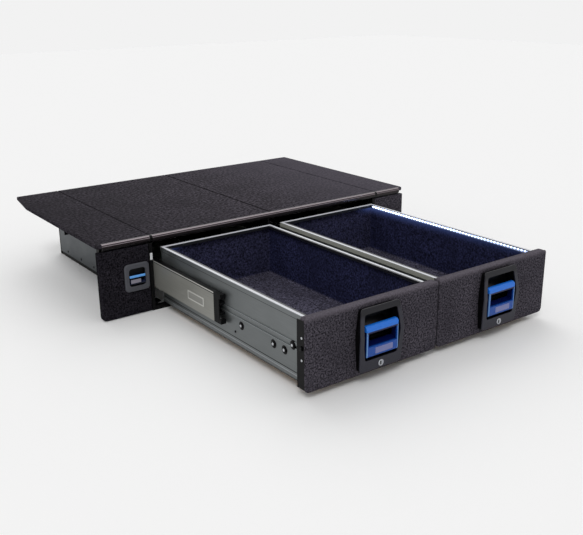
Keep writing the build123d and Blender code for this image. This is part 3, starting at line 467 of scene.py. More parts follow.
black_coat = powder_coat("black_powder_coat", "#0b0b0c")
zinc_plate = plated_steel("bright_zinc_plate", "#c9ccd0", 0.26)
black_plate = plated_steel("black_zinc_plate", "#1e1f21", 0.34)
bright_plate = plated_steel("passivated_strike_plate", "#f4f6f8", 0.4, metallic=0.25)
print("metals", black_coat.name, zinc_plate.name, black_plate.name, bright_plate.name)

# %% [markdown]
# The key lock in each handle is polished chrome, so its roughness is very low. Its keyway is a
# dark slot.

# %% Chrome with a keyway
KEYWAY = (2.1, 6.3)  # mm, half its width and half its height
KEYWAY_ASIDE = -2.5  # mm from a drawer's middle
lock_height = (limits("left_lock")[2] + limits("left_lock")[5]) / 2 / mm

lock_face = plated_steel("chrome_lock_face", "#b9bcc2", 0.12)
x, y, z = coordinates(lock_face)
upright = before(distance(z, lock_height), KEYWAY[1], 0.6)
for middle in (-BAY_MIDDLE, BAY_MIDDLE):
    slot = before(distance(x, middle + KEYWAY_ASIDE), KEYWAY[0], 0.6)
    repaint(lock_face, calculate("MULTIPLY", slot, upright), "#08080a")
print("chrome", lock_face.name)

# %% [markdown]
# ## Moulded plastics
# Handles and caps are injection moulded. The black ABS and grey ABS have the fine spark grain of
# their mould, and the blue paddles are smoother, with a soft gloss. Grain is a small bump.

# %% Moulded ABS
SPARK_GRAIN = 0.9  # mm, coarser than a real mould's grain, so that it shows
GRAIN_DEPTH = 0.12  # mm
FLOW = 35.0  # mm, the faint patches that the melt leaves as it fills the mould


def moulded_plastic(name, colour, roughness, grain, shine=0.5):
    made, tree, shader, place = new_material(name, **{
        "Base Color": linear(colour), "Roughness": roughness, "IOR": 1.53, "Specular IOR Level": shine})
    spark = add(tree, "TexNoise", {"Vector": place, "Scale": per_metre(SPARK_GRAIN), "Detail": 1.0})
    flow = add(tree, "TexNoise", {"Vector": place, "Scale": per_metre(FLOW), "Detail": 2.0})
    smooth, rough = ROUGHNESS_SPREAD
    gloss = add(tree, "MapRange", {"Value": flow, "To Min": roughness + smooth, "To Max": roughness + rough})
    bump = add(tree, "Bump", {"Height": spark, "Strength": grain, "Distance": GRAIN_DEPTH * mm})
    fill(shader, {"Roughness": gloss, "Normal": bump})
    return made


black_abs = moulded_plastic("black_abs", "#0b0b0c", 0.42, 0.35, shine=0.12)
black_nylon = moulded_plastic("black_nylon", "#0a0a0b", 0.55, 0.25, shine=0.12)
pale_foil = moulded_plastic("pale_blank_foil", "#7076a8", 0.35, 0.05)
grey_foil = moulded_plastic("grey_blank_foil", "#8a8794", 0.35, 0.05)
print("plastics", black_abs.name, black_nylon.name, pale_foil.name, grey_foil.name)

# %% [markdown]
# A handle's bezel is a dark grey frame with painted shade on its top bar, and painted shade makes
# it black from a few millimetres behind the frame's folded face. The hatch's bezel is the same but
# flat, with no shaded top bar.

# %% Bezels in two colours
FRAME_FOLD = ((48, 27), (165, 35), (256, 22))  # mm, height and how far the frame stands proud there
FRAME_THICKNESS = 3.9  # mm, painted shade blackens what lies further back
FRAME_SHADE_FROM = 230.0  # mm, painted shade darkens the frame's top bar from here
LATCH_THICKNESS = 5.4  # mm, painted shade blackens what lies further back


def folded_bezel(name):
    """Grey where y is less than the frame's face plus its thickness, and black with painted shade
    further back; painted shade darkens the top bar too. The face is y = a + b, two ramps over z that
    meet at the fold: a runs up to it, and b runs on from there."""
    made = moulded_plastic(name, "#2f2f38", 0.30, 0.3, shine=0.22)
    x, y, z = coordinates(made)
    (z0, d0), (z1, d1), (z2, d2) = FRAME_FOLD
    low = ramp(z, z0, z1, (FACE_Y - d0) * mm, (FACE_Y - d1) * mm)
    high = ramp(z, z1, z2, 0.0, (d1 - d2) * mm)
    behind = calculate("SUBTRACT", y, calculate("ADD", low, high))
    # Painted shade on the top bar, then painted shade that blackens what lies behind the frame
    repaint(made, past(z, FRAME_SHADE_FROM, 16.0), "#1b1b20")
    return repaint(made, past(behind, FRAME_THICKNESS), "#050506")


def flat_bezel(name, front):
    made = moulded_plastic(name, "#505157", 0.45, 0.35, shine=0.2)
    x, y, z = coordinates(made)
    # Painted shade blackens what lies behind the latch's face
    return repaint(made, past(y, front + LATCH_THICKNESS, 0.8), "#050506")


bezel_abs = folded_bezel("grey_abs_with_painted_shade")
latch_abs = flat_bezel("grey_abs_latch", limits("hatch_bezel")[1] / mm)
print("bezels", bezel_abs.name, latch_abs.name)

# %% [markdown]
# A paddle is one blue plastic. Painted light makes its grip bar brighter than its lower face, with
# a painted navy shadow line under the bar and painted navy shade on its inner walls. Its side edges
# get painted highlights. They are found from its vertices, but only from those above its pivots,
# which stand out further than the edges.

# %% Blue paddles
BAR_FOOT, LATCH_BAR_FOOT = 181.0, 152.8  # mm, heights of the grip bar's lower edge
BAR_SHADE = 6.0  # mm, the painted navy shadow line under the bar's foot
INNER_WALLS = 5.0  # mm behind the front face, where the painted navy shade begins
HIGHLIGHT_DEPTH = 4.0  # mm behind the front face, how far back the painted highlights reach
SIDE_HIGHLIGHT = (2.0, 2.6)  # mm, how far in from the side, and half its width
ABOVE_PIVOTS = 150.0  # mm


def paddle_blue(name, front, bar_foot, bar, face, inner, edges=()):
    """The bar's colour above its foot, and the face's below it: one blue, painted lighter on the bar.
    The inner colour is painted shade, just below the foot and on what is further back than the
    face. The edges are places over x, which get painted highlights."""
    made = moulded_plastic(name, bar, 0.22, 0.05, shine=0.35)
    x, y, z = coordinates(made)
    below = before(z, bar_foot - 0.5, 2.0)
    # Painted light and shade: the face darker than the bar, a shadow line, and shaded inner walls
    repaint(made, below, face)
    repaint(made, past(z, bar_foot - BAR_SHADE, 2.0), inner)
    repaint(made, past(z, bar_foot), bar)
    repaint(made, calculate("MULTIPLY", past(y, front + INNER_WALLS, 4.0), below), inner)
    if edges:
        # Painted highlights on the side edges
        in_front = before(y, front + HIGHLIGHT_DEPTH, 2.0)
        repaint(made, calculate("MULTIPLY", stripes(x, edges), below, in_front), "#6f9bd2")
    return made


def side_edges(name):
    """The two side edges of a paddle as places over x, each with its half width."""
    vertices = nodes[name].data.vertices
    points = np.empty(3 * len(vertices))
    vertices.foreach_get("co", points)
    points = points.reshape(-1, 3) / mm
    across = points[points[:, 2] > ABOVE_PIVOTS, 0]
    inwards, half = SIDE_HIGHLIGHT
    return [(across.min() + inwards, half), (across.max() - inwards, half)]


drawer_blue = paddle_blue(
    "blue_abs_paddle", limits("left_paddle")[1] / mm, BAR_FOOT, "#1a70d8", "#12489c", "#050f40",
    side_edges("left_paddle") + side_edges("right_paddle"))
latch_blue = paddle_blue(
    "blue_abs_latch", limits("hatch_paddle")[1] / mm, LATCH_BAR_FOOT, "#66aaf2", "#0b1430", "#030611")
print("paddles", drawer_blue.name, latch_blue.name)

# %% [markdown]
# ## Felt, plywood and the light strip
# The drawers are lined with a finer needle punched felt. It is brown grey, and painted blue light
# from the strips makes it navy on the walls, most of all on the side walls. Beside the light strip
# it glows faintly, which stands for the light that the strip throws on it.

# %% Felt with painted blue light
FELT_TUFT = 7.0  # mm
BLUE_LIGHT_TINT = "#8e98c8"  # painted blue light, laid over the brown grey
WALL_FOOT = (54, 62)  # mm, the heights between which floor turns to wall
SIDE_WALL = (7, 4)  # mm before the liner's side, where it begins and where it is complete
SIDE_SHARE = 0.2  # of the painted blue light, on the side walls alone
HALO_ACROSS = (420, 512)  # mm from the middle
HALO_HEIGHTS = (205, 250)  # mm
HALO_POWER = 2.2
HALO_LIGHT = 0.3
FRONT_LIGHT = 0.25  # how bright the strip's front end is, against its rear end


def felt_with_blue_light(name):
    """The painted blue light is a share w of the base colour, w = side + wall, each a ramp. The glow
    is n^2.2 f, where n is the nearness to the strip and f falls from its rear end to its front."""
    made = needle_punched_carpet(name, "#141319", "#757288", "#32303c", tuft=FELT_TUFT)
    tree = made.node_tree
    x, y, z = coordinates(made)
    outwards = calculate("ABSOLUTE", x)
    half = (limits("left_drawer_liner")[3] - limits("left_drawer_liner")[0]) / 2 / mm
    side = ramp(distance(outwards, BAY_MIDDLE), half - SIDE_WALL[0], half - SIDE_WALL[1], 0.0, SIDE_SHARE)
    wall = calculate("ADD", side, ramp(z, *WALL_FOOT, 0.0, 1.0 - SIDE_SHARE))
    shader = shader_of(made)
    felt = shader.inputs["Base Color"].links[0].from_socket
    # Painted blue light on the walls
    navy = add(tree, "Mix", {
        "Factor": wall, "A": linear("#ffffff"), "B": linear(BLUE_LIGHT_TINT)}, data_type="RGBA")
    walls_blue_lit = add(tree, "Mix", {"Factor": 1.0, "A": felt, "B": navy}, data_type="RGBA", blend_type="MULTIPLY")
    near = calculate("MULTIPLY", ramp(outwards, *HALO_ACROSS), ramp(z, *HALO_HEIGHTS))
    fade = ramp(y, *STRIP_Y, FRONT_LIGHT, 1.0)
    halo = calculate("MULTIPLY", calculate("POWER", near, HALO_POWER), fade, HALO_LIGHT)
    fill(shader, {"Base Color": walls_blue_lit, "Emission Color": linear("#7f9bff"), "Emission Strength": halo})
    return made


felt = felt_with_blue_light("drawer_liner_felt")
print("felt", felt.name)

# %% [markdown]
# The drawer floors are sealed plywood, seen only from below: a stretched noise gives the grain.
# The strip is a row of small lights under clear silicone. Each light is a bright dot, so the glow
# is a narrow peak of a cosine that repeats along Y, over a dimmer bluish white base.

# %% Plywood and light strip
GRAIN_WIDTH = 7.0  # mm across the grain of the face veneer
GRAIN_STRETCH = 0.06  # the grain is about seventeen times longer along Y
LIGHT_PITCH = 16.0  # mm from one light to the next
LIT_HEIGHTS = (249.0, 253.5)  # mm, the strip's dark lower edge and its lit upper one


def sealed_plywood(name):
    made, tree, shader, place = new_material(name, **{"Roughness": 0.5})
    run = add(tree, "Mapping", {"Vector": place, "Scale": (1.0, GRAIN_STRETCH, 1.0)})
    grain = add(tree, "TexNoise", {
        "Vector": run, "Scale": per_metre(GRAIN_WIDTH), "Detail": 5.0, "Distortion": 0.6})
    shade = add(tree, "Mix", {
        "Factor": grain, "A": linear("#8d6c46"), "B": linear("#c8a77a")}, data_type="RGBA")
    fill(shader, {"Base Color": shade})
    return made


def light_strip_silicone(name, base, peak):
    """Strength = s u v, where s goes from the base to the peak with the dots' wave along y, u
    fades from the rear end to the front end, and v falls from the upper edge to the lower one."""
    made, tree, shader, place = new_material(name, **{"Base Color": linear("#8f9cb8"), "Roughness": 0.35})
    x, y, z = coordinates(made)
    turns = calculate("MULTIPLY", y, 2 * math.pi * per_metre(LIGHT_PITCH))
    dots = add(tree, "MapRange", {
        "Value": calculate("COSINE", turns),
        "From Min": -0.2, "From Max": 1.0, "To Min": base, "To Max": peak})
    fade = ramp(y, *STRIP_Y, FRONT_LIGHT, 1.0)
    fall = ramp(z, *LIT_HEIGHTS, 0.01, 1.0)
    glow = calculate("MULTIPLY", dots, fade, fall)
    fill(shader, {"Emission Color": linear("#b7ccff"), "Emission Strength": glow})
    return made


floor_ply = sealed_plywood("sealed_plywood")
strip_glow = light_strip_silicone("lit_silicone_strip", 4.0, 22.0)
print("plywood and lights", floor_ply.name, strip_glow.name)

# %% [markdown]
# ## Finishes for the exact pieces
# The hard pieces keep the shape of the frame. Each one only takes its material here.

# %% Give each hard piece its finish
def finish_with(material, *names):
    for name in names:
        piece = nodes[name]
        piece.data.materials.clear()
        piece.data.materials.append(material)


def both(*names):
    return [f"{side}_{name}" for side in SIDES for name in names]


finish_with(drawer_metal, *both("drawer_side_outer", "drawer_side_inner", "drawer_rear"))
finish_with(wall_metal, "side_wall_left", "side_wall_right", "centre_wall")
finish_with(runner_metal, *both("runner_outer", "runner_inner"))
finish_with(trim_metal, "trim_centre", "trim_wings")
finish_with(black_coat, "floor_sills", "floor_rails", "floor_plates", "rear_panel", "wing_supports")
finish_with(black_coat, *both("drawer_brackets", "drawer_bolts"))
finish_with(black_nylon, "front_guides", *both("runner_shoes", "drawer_shoes", "rollers"))
finish_with(black_abs, "wall_end_caps")
finish_with(bezel_abs, *both("bezel"))
finish_with(latch_abs, "hatch_bezel")
finish_with(latch_blue, "hatch_paddle")
finish_with(drawer_blue, *both("paddle"))
finish_with(black_plate, "wall_screws", "hatch_hinges", "hatch_leaves", *both("latch_bolt"))
finish_with(bright_plate, "strike_plates")
finish_with(zinc_plate, "hatch_bolt")
finish_with(lock_face, *both("lock"))
finish_with(floor_ply, *both("drawer_floor"))
finish_with(strip_glow, "light_strip")
print("finished", len(nodes), "pieces of the frame")

# %% [markdown]
# ## Soft edged panels
# A carpeted board has no sharp edge: the carpet wraps round it. So each one is made again as a
# stack of loops. A loop is the board's outline with soft corners, moved in by some amount at some
# depth. The stack goes from the middle of one face, over the rounded edge, to the other face.

# %% Outlines with soft corners
CORNER_STEPS = 7
LEAST_SETBACK = 0.4 * mm  # so that no two points of a loop fall together


def soft_outline(corners, setback):
    """Each corner P becomes a curve (1-t)^2 A + 2t(1-t) P + t^2 B, where A and B lie on the two
    sides that meet at P, at the setback from it. The corners are (n, 2) and go round once."""
    corners = np.asarray(corners, float)
    setback = np.broadcast_to(np.asarray(setback, float), len(corners))[:, None]
    back = np.roll(corners, 1, axis=0) - corners
    ahead = np.roll(corners, -1, axis=0) - corners
    start = corners + setback * back / np.linalg.norm(back, axis=1, keepdims=True)
    end = corners + setback * ahead / np.linalg.norm(ahead, axis=1, keepdims=True)
    t = np.linspace(0, 1, CORNER_STEPS)[None, :, None]
    bend = (1 - t) ** 2 * start[:, None] + 2 * t * (1 - t) * corners[:, None] + t ** 2 * end[:, None]
    return bend.reshape(-1, 2)


def inset(corners, amount):
    """Moves every side of a polygon inwards: the corner P goes to P + d (m + n) / (1 + m.n), where
    m and n are the inward normals of its two sides, for corners that go round counterclockwise."""
    corners = np.asarray(corners, float)
    b = corners - np.roll(corners, 1, axis=0)
    a = np.roll(corners, -1, axis=0) - corners
    b /= np.linalg.norm(b, axis=1, keepdims=True)
    a /= np.linalg.norm(a, axis=1, keepdims=True)
    normal_a = np.stack([-a[:, 1], a[:, 0]], axis=1)
    normal_b = np.stack([-b[:, 1], b[:, 0]], axis=1)
    return corners + amount * (normal_a + normal_b) / (1 + (normal_a * normal_b).sum(axis=1, keepdims=True))


def loop_at(level, axis, corners, inner, setback):
    """One loop: the outline moved in and softened, with the level as its third coordinate, which
    is the first, second or last one for the axis X, Y or Z."""
    outline = soft_outline(inset(corners, inner), np.maximum(np.asarray(setback) - inner, LEAST_SETBACK))
    return np.insert(outline, "XYZ".index(axis), level, axis=1)


square = [(0, 0), (1, 0), (1, 1), (0, 1)]
print("inset square", inset(square, 0.1).round(3).tolist())

# %% [markdown]
# A mesh from a stack of loops needs no loop over its points: each face joins point i of one loop
# to point i + 1 of the next, so all face corners come from one array of numbers.

# %% Mesh from a stack of loops
def new_object(name, data):
    made = bpy.data.objects.new(name, data)
    bpy.context.collection.objects.link(made)
    return made


def loft(name, loops, material, body):
    """The loops are an array (m, n, 3), or (k, m, n, 3) for k separate stacks in one mesh. Face
    (j, i) joins the points (j, i), (j, i+1), (j+1, i+1) and (j+1, i), counted round; the first and
    last loop of a stack are closed with one flat face each."""
    loops = np.asarray(loops, float)
    m, n, _ = loops.shape[-3:]
    starts = np.arange(0, loops.size // 3, m * n)
    j, i = np.meshgrid(np.arange(m - 1), np.arange(n), indexing="ij")
    ring = (i + 1) % n
    quads = np.stack([j * n + i, j * n + ring, (j + 1) * n + ring, (j + 1) * n + i], axis=-1).reshape(-1, 4)
    faces = (starts[:, None, None] + quads).reshape(-1, 4).tolist()
    faces += [list(range(start, start + n))[::-1] for start in starts]
    faces += [list(range(start + (m - 1) * n, start + m * n)) for start in starts]
    mesh = bpy.data.meshes.new(name)
    mesh.from_pydata(loops.reshape(-1, 3).tolist(), [], faces)
    mesh.polygons.foreach_set("use_smooth", np.ones(len(mesh.polygons), bool))
    mesh.update()
    mesh.materials.append(material)
    made = new_object(name, mesh)
    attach(made, body)
    return made


def panel(name, corners, low, high, roundness, setback, axis, material, body):
    """A rounded board. Its outline lies across one axis, and its loops follow a quarter circle of
    the given roundness r at both faces: inset r(1 - sin a) and depth r(1 - cos a) for a in 0..90.
    One more loop, 3 r in, keeps each face flat."""
    a = np.linspace(0, math.pi / 2, 5)
    r = roundness
    steps_in = np.concatenate([[r * 3], r * (1 - np.sin(a)), (r * (1 - np.sin(a)))[::-1], [r * 3]])
    depth = np.concatenate([[low], low + r * (1 - np.cos(a)), (high - r * (1 - np.cos(a)))[::-1], [high]])
    loops = [loop_at(level, axis, corners, inner, setback) for inner, level in zip(steps_in, depth)]
    if axis == "Y":
        loops.reverse()  # an outline over x and z goes round the other way, seen along its axis
    return loft(name, loops, material, body)


print("loft and panel are ready")

# %% [markdown]
# ## Deck boards
# Four boards make the deck. The wings have a nose at their outer front corner, where the trim
# ends, and the left wing has its rear corner cut away. The outlines come from the frame's boxes.

# %% Deck and wing boards
BOARD_ROUND = 4.0 * mm
BOARD_CORNER = 2.5 * mm
WING_EDGE, NOSE_TIP = 2.3, 20.0  # mm, how far from a corner its rounding starts
CUT_REAR, CUT_SIDE = 6.0, 12.0  # mm, the same at the two ends of the cut
NOSE = 23.5 * mm  # the stretch of a wing board that reaches the front edge
REAR_CUT = (30 * mm, 205 * mm)


def deck_board(name, corners, setback):
    _, _, z0, _, _, z1 = limits(name)
    made = panel(
        f"{name}_carpet", corners, z0, z1, BOARD_ROUND, setback, "Z",
        deck_carpet, "housing")
    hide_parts(name)
    return made


boards = []
for name in ("deck_board_left", "deck_board_right"):
    x0, y0, _, x1, y1, _ = limits(name)
    boards.append(deck_board(name, [(x0, y0), (x1, y0), (x1, y1), (x0, y1)], BOARD_CORNER))
trim_back = y0

x0, y0, _, x1, y1, _ = limits("wing_board_left")
left_wing = [
    (x0, y0), (x0 + NOSE, y0), (x0 + NOSE, trim_back), (x1, trim_back), (x1, y1),
    (x0 + REAR_CUT[0], y1), (x0, y1 - REAR_CUT[1])]
left_setbacks = np.array([NOSE_TIP, *4 * [WING_EDGE], CUT_REAR, CUT_SIDE]) * mm
boards.append(deck_board("wing_board_left", left_wing, left_setbacks))

x0, y0, _, x1, y1, _ = limits("wing_board_right")
right_wing = [(x0, trim_back), (x1 - NOSE, trim_back), (x1 - NOSE, y0), (x1, y0), (x1, y1), (x0, y1)]
right_setbacks = np.array([*3 * [WING_EDGE], NOSE_TIP, *2 * [WING_EDGE]]) * mm
boards.append(deck_board("wing_board_right", right_wing, right_setbacks))
print("boards", [board.name for board in boards])

# %% [markdown]
# ## Fronts with a recess
# The drawer fronts and the hatch are carpeted too, but each has a hollow for its handle. The same
# stack of loops makes that: after the front edge, one more loop follows the mouth of the hollow,
# so the face becomes a ring, and the last loops go down into the hollow and close its floor.

# %% Front boards
FLAT_RIM = 2 * mm  # the face is kept flat over this much inside its rounded edge
MOUTH_RIMS = (3 * mm, 0.5 * mm)  # and over these stretches round the mouth
MOUTH_EDGE = 0.5 * mm  # how far the mouth's edge sinks in


def hollow_front(name, outer, setback, mouth, mouth_setback, depths, end_step, roundness, material, body):
    """Loops run from the back face, along the ends, round the front edge with inset r(1 - cos a)
    and depth r(1 - sin a), across the face to the mouth, and down to the hollow's floor. Extra
    loops close to both ends of the face keep it flat. Both outlines hold the same number of
    corners, in the same order. The end step makes the rear part of the board narrower."""
    back, face, step_at, floor_at = depths
    outer = np.asarray(outer, float)
    narrow = outer.copy()
    narrow[:, 0] -= np.sign(outer[:, 0] - outer[:, 0].mean()) * end_step
    a = np.linspace(0, math.pi / 2, 7)
    stack = [(narrow, 0.0, back), (narrow, 0.0, step_at), (outer, 0.0, step_at)]
    stack += [(outer, roundness * (1 - math.cos(t)), face + roundness * (1 - math.sin(t))) for t in a]
    stack += [(outer, roundness + FLAT_RIM, face)]
    loops = [loop_at(level, "Y", corners, inner, setback) for corners, inner, level in stack]
    into_mouth = [(rim, face) for rim in MOUTH_RIMS] + [(0.0, face + MOUTH_EDGE), (0.0, floor_at)]
    for grow, level in into_mouth:
        loops.append(np.insert(soft_outline(inset(mouth, -grow), mouth_setback), 1, level, axis=1))
    return loft(name, loops, material, body)


print("fronts are ready")

# %% [markdown]
# The handle's mouth is widest halfway up, so it is a six sided outline. The front's outline gets
# a point halfway up each end to match it, which changes nothing in its shape.

# %% Drawer fronts
MOUTH_FOOT, MOUTH_LEVEL, MOUTH_TOP = 84 * mm, 165 * mm, 237 * mm  # heights of the handle's mouth
MOUTH_HALVES = (67 * mm, 78 * mm, 67 * mm)  # half its width at each of them
MOUTH_CORNER = 8 * mm
TUB_WALL = 3.0 * mm
TUB_DEPTH = 18.0 * mm
END_PLATE = 2.6 * mm  # the bracket's leg lies in this step at each end
END_PLATE_START = 5.0 * mm
FRONT_ROUND = 4.8 * mm
CORNER = 11.0 * mm  # how far the face's soft corners start from the sharp ones
LOW_CORNER = 20.0 * mm  # the same at the bottom, and at the points halfway up


def six_sides(centre, heights, halves):
    (low, level, high), (low_half, level_half, high_half) = heights, halves
    return [
        (centre - low_half, low), (centre + low_half, low), (centre + level_half, level),
        (centre + high_half, high), (centre - high_half, high), (centre - level_half, level)]


mouth_heights = (MOUTH_FOOT - TUB_WALL, MOUTH_LEVEL, MOUTH_TOP + TUB_WALL)
mouth_halves = [half + TUB_WALL for half in MOUTH_HALVES]
front_setbacks = np.array([LOW_CORNER, LOW_CORNER, LOW_CORNER, CORNER, CORNER, LOW_CORNER])
for side in SIDES:
    x0, y0, z0, x1, y1, z1 = limits(f"{side}_drawer_front")
    centre, half = (x0 + x1) / 2, (x1 - x0) / 2
    front = hollow_front(
        f"{side}_front_carpet", six_sides(centre, (z0, MOUTH_LEVEL, z1), 3 * [half]), front_setbacks,
        six_sides(centre, mouth_heights, mouth_halves), MOUTH_CORNER,
        (y1, y0, y0 + END_PLATE_START, y0 + TUB_DEPTH), END_PLATE, FRONT_ROUND,
        front_carpet, f"{side}_drawer")
    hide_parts(f"{side}_drawer_front")
    print(front.name, "faces", len(front.data.polygons))

# %% [markdown]
# ## Hatch and wing panel
# The left wing is closed by a hinged hatch with a small latch, and the right wing by a plain
# panel. Both have one strongly rounded lower corner at their outer side.

# %% Hatch and right wing panel
WING_CORNER = 20.0 * mm
SHARP_CORNER = 3.0 * mm
LATCH_ACROSS = (-660 * mm, -592 * mm)  # the latch's mouth
LATCH_HEIGHTS = (118 * mm, 188 * mm)
LATCH_CORNER = 14 * mm
LATCH_DEPTH = 10.5 * mm
HATCH_SIDE = 4 * mm
HATCH_ROUND = 3.0 * mm
WING_ROUND = 2.5 * mm


def rectangle(u_ends, v_ends, grow=0.0):
    """The four corners of a rectangle, counterclockwise, each side moved out by the growth."""
    (u0, u1), (v0, v1) = u_ends, v_ends
    return inset([(u0, v0), (u1, v0), (u1, v1), (u0, v1)], -grow)


x0, y0, z0, x1, y1, z1 = limits("hatch_panel")
hatch = hollow_front(
    "hatch_carpet", rectangle((x0, x1), (z0, z1)), np.array([WING_CORNER, *3 * [SHARP_CORNER]]),
    rectangle(LATCH_ACROSS, LATCH_HEIGHTS, TUB_WALL), LATCH_CORNER,
    (y1, y0, y0 + HATCH_SIDE, y0 + LATCH_DEPTH), 0.0, HATCH_ROUND, shaded_hatch_carpet, "hatch")
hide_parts("hatch_panel")

x0, y0, z0, x1, y1, z1 = limits("wing_panel_right")
wing_setbacks = np.array([SHARP_CORNER, WING_CORNER, SHARP_CORNER, SHARP_CORNER])
wing_panel = panel(
    "wing_panel_carpet", rectangle((x0, x1), (z0, z1)), y0, y1, WING_ROUND, wing_setbacks, "Y",
    front_carpet, "housing")
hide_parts("wing_panel_right")
print(hatch.name, wing_panel.name)

# %% [markdown]
# ## Liners
# Each drawer is lined with felt, glued to its floor and its four walls. The felt is bent up at the
# floor, so its inner corners are soft. The tray is a stack of loops again: up the outside, over
# the rim, down the inside and over a curve to the floor.

# %% Felt liners
FELT = 4.0 * mm
FLOOR_FELT = 3.0 * mm
FELT_BEND = 9.0 * mm
UNDERSIDE, FLOOR = 30 * mm, 60 * mm  # how far in the first loop and the last loop lie
LINER_CORNERS = (2 * mm, 12 * mm)  # least and greatest setback, which grows with the inset

a = np.linspace(0, math.pi / 2, 6)
rim = np.linspace(0, math.pi, 5)
insets = np.concatenate([
    [UNDERSIDE, 0], FELT / 2 * (1 - np.cos(rim)), FELT + FELT_BEND * (1 - np.cos(a)), [FLOOR]])
for side in SIDES:
    x0, y0, z0, x1, y1, z1 = limits(f"{side}_drawer_liner")
    levels = np.concatenate([
        [z0, z0], z1 - FELT / 2 + FELT / 2 * np.sin(rim),
        z0 + FLOOR_FELT + FELT_BEND * (1 - np.sin(a)), [z0 + FLOOR_FELT]])
    loops = []
    for inner, level in zip(insets, levels):
        setback = np.clip(LINER_CORNERS[0] + inner, *LINER_CORNERS)
        outline = soft_outline(rectangle((x0, x1), (y0, y1), -inner), setback)
        loops.append(np.insert(outline, 2, level, axis=1))
    liner = loft(f"{side}_liner_felt", loops, felt, f"{side}_drawer")
    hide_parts(f"{side}_drawer_liner")
    print(liner.name, "faces", len(liner.data.polygons))

# %% [markdown]
# ## Screw heads
# The black domes hold bright button head screws, and the brackets have two nearly flat ones at
# each end. A head is a profile of radius and height that is turned round an axis: the rim, the
# crown, then down into a socket. Heads of one kind in one drawer share a mesh, so they move as one.

# %% Bright screw heads
# Shares of a head's radius and height, from its rim to its socket
HEAD_PROFILE = np.array([(1.0, -0.4), (1.0, 0.2), (0.9, 0.62), (0.66, 0.95), (0.42, 1.0), (0.38, 0.35)])
HEAD_STEPS = 20
BUTTON_HEAD = (5.0 * mm, 1.2 * mm)  # radius and height
FLAT_HEAD = (4.2 * mm, 0.2 * mm)
DOME_TOPS = (21.4, 21.4, 21.4, 18.0)  # mm from the front's end
BUTTONS = [(back, up, top) for (back, up), top in zip(WASHERS, DOME_TOPS)]
BRACKET_SCREWS = ((16, 203, -1.5), (16, 131, -1.5))  # mm behind the face, height, and from the front's end


def screw_heads(name, places, size, body):
    """A ring point is the place plus (s h, r cos u, s r sin u), where s is the side the head faces,
    -1 or 1. The sign on the last part keeps the faces outwards on both sides."""
    u = np.linspace(0, 2 * math.pi, HEAD_STEPS, endpoint=False)
    r, h = (HEAD_PROFILE * size).T[:, :, None]
    ring = np.stack([h + 0 * u, r * np.cos(u), r * np.sin(u)], axis=-1)
    places = np.asarray(places, float)
    facing = places[:, 3]
    turn = np.stack([facing, np.ones_like(facing), facing], axis=1)[:, None, None]
    return loft(name, ring * turn + places[:, None, None, :3], zinc_plate, body)


def on_both_ends(bay, spots):
    """Each spot as a place in metres on both ends of a drawer, with the side it faces."""
    return [
        ((bay * BAY_MIDDLE + hand * (HALF_FRONT - from_end)) * mm, (FACE_Y + back) * mm, up * mm, hand)
        for hand in (-1, 1) for back, up, from_end in spots]


for side, bay in zip(SIDES, (-1, 1)):
    heads = screw_heads(f"{side}_button_heads", on_both_ends(bay, BUTTONS), BUTTON_HEAD, f"{side}_drawer")
    flat = screw_heads(f"{side}_flat_heads", on_both_ends(bay, BRACKET_SCREWS), FLAT_HEAD, f"{side}_drawer")
    print(heads.name, flat.name)

# %% [markdown]
# ## Blank labels
# The runner carries a small raised plate, and each paddle has a foil on its lower face. All are
# blank here. They are thin rounded panels, made in the same way as the boards.

# %% Blank plates and foils
PLATE = ((-837 * mm, -726 * mm), (125 * mm, 158 * mm))  # limits over y and z
PLATE_RIM = 5 * mm
PLATE_OUT, PLATE_IN = 0.5 * mm, 0.3 * mm  # how far it stands out, and how deep it sits
PLATE_ROUND, PLATE_CORNER = 0.35 * mm, 3 * mm
FIELD_OUT = 0.62 * mm
FIELD_ROUND, FIELD_CORNER = 0.1 * mm, 2 * mm
FOIL = 0.3 * mm  # both of these for a foil
FOIL_ROUND, FOIL_CORNER = 0.2 * mm, 2 * mm
FOIL_ACROSS = (-30 * mm, 42 * mm)  # from the paddle's middle
FOIL_HEIGHTS = (104.5 * mm, 124.5 * mm)
LATCH_FOIL = ((-655 * mm, -614 * mm), (131.5 * mm, 146 * mm))

face_x = limits("left_runner_outer")[0]
plate = panel(
    "runner_label_plate", rectangle(*PLATE), face_x - PLATE_OUT, face_x + PLATE_IN,
    PLATE_ROUND, PLATE_CORNER, "X", label_metal, "left_runners")
field = panel(
    "runner_label_field", rectangle(*PLATE, -PLATE_RIM), face_x - FIELD_OUT, face_x,
    FIELD_ROUND, FIELD_CORNER, "X", field_metal, "left_runners")


def paddle_foil(name, corners, paddle, material):
    face_y = limits(paddle)[1]
    return panel(
        name, corners, face_y - FOIL, face_y + FOIL, FOIL_ROUND, FOIL_CORNER, "Y",
        material, paddle)


for side in SIDES:
    centre = (limits(f"{side}_paddle")[0] + limits(f"{side}_paddle")[3]) / 2
    corners = rectangle([centre + end for end in FOIL_ACROSS], FOIL_HEIGHTS)
    paddle_foil(f"{side}_paddle_foil", corners, f"{side}_paddle", pale_foil)
foil = paddle_foil("hatch_paddle_foil", rectangle(*LATCH_FOIL), "hatch_paddle", grey_foil)
print("plates", plate.name, field.name, foil.name)

# %% [markdown]
# ## The studio
# The photograph looks down at the system from the front left. The camera stands where a fit of
# the photograph's straight edges puts it, with a 51 mm lens. A uniform pale world lights the
# object about as its colours are written, and two soft lamps give the metal its highlights.

# %% Camera
EYE = (-1.8886, -3.1842, 1.1708)  # metres, in the frame's own axes
TURN, LOOK_DOWN, ROLL = 36.18, 18.6, -0.55  # degrees: to the right of +Y, below level, and tilt
LENS, SENSOR = 50.9, 36.0  # mm

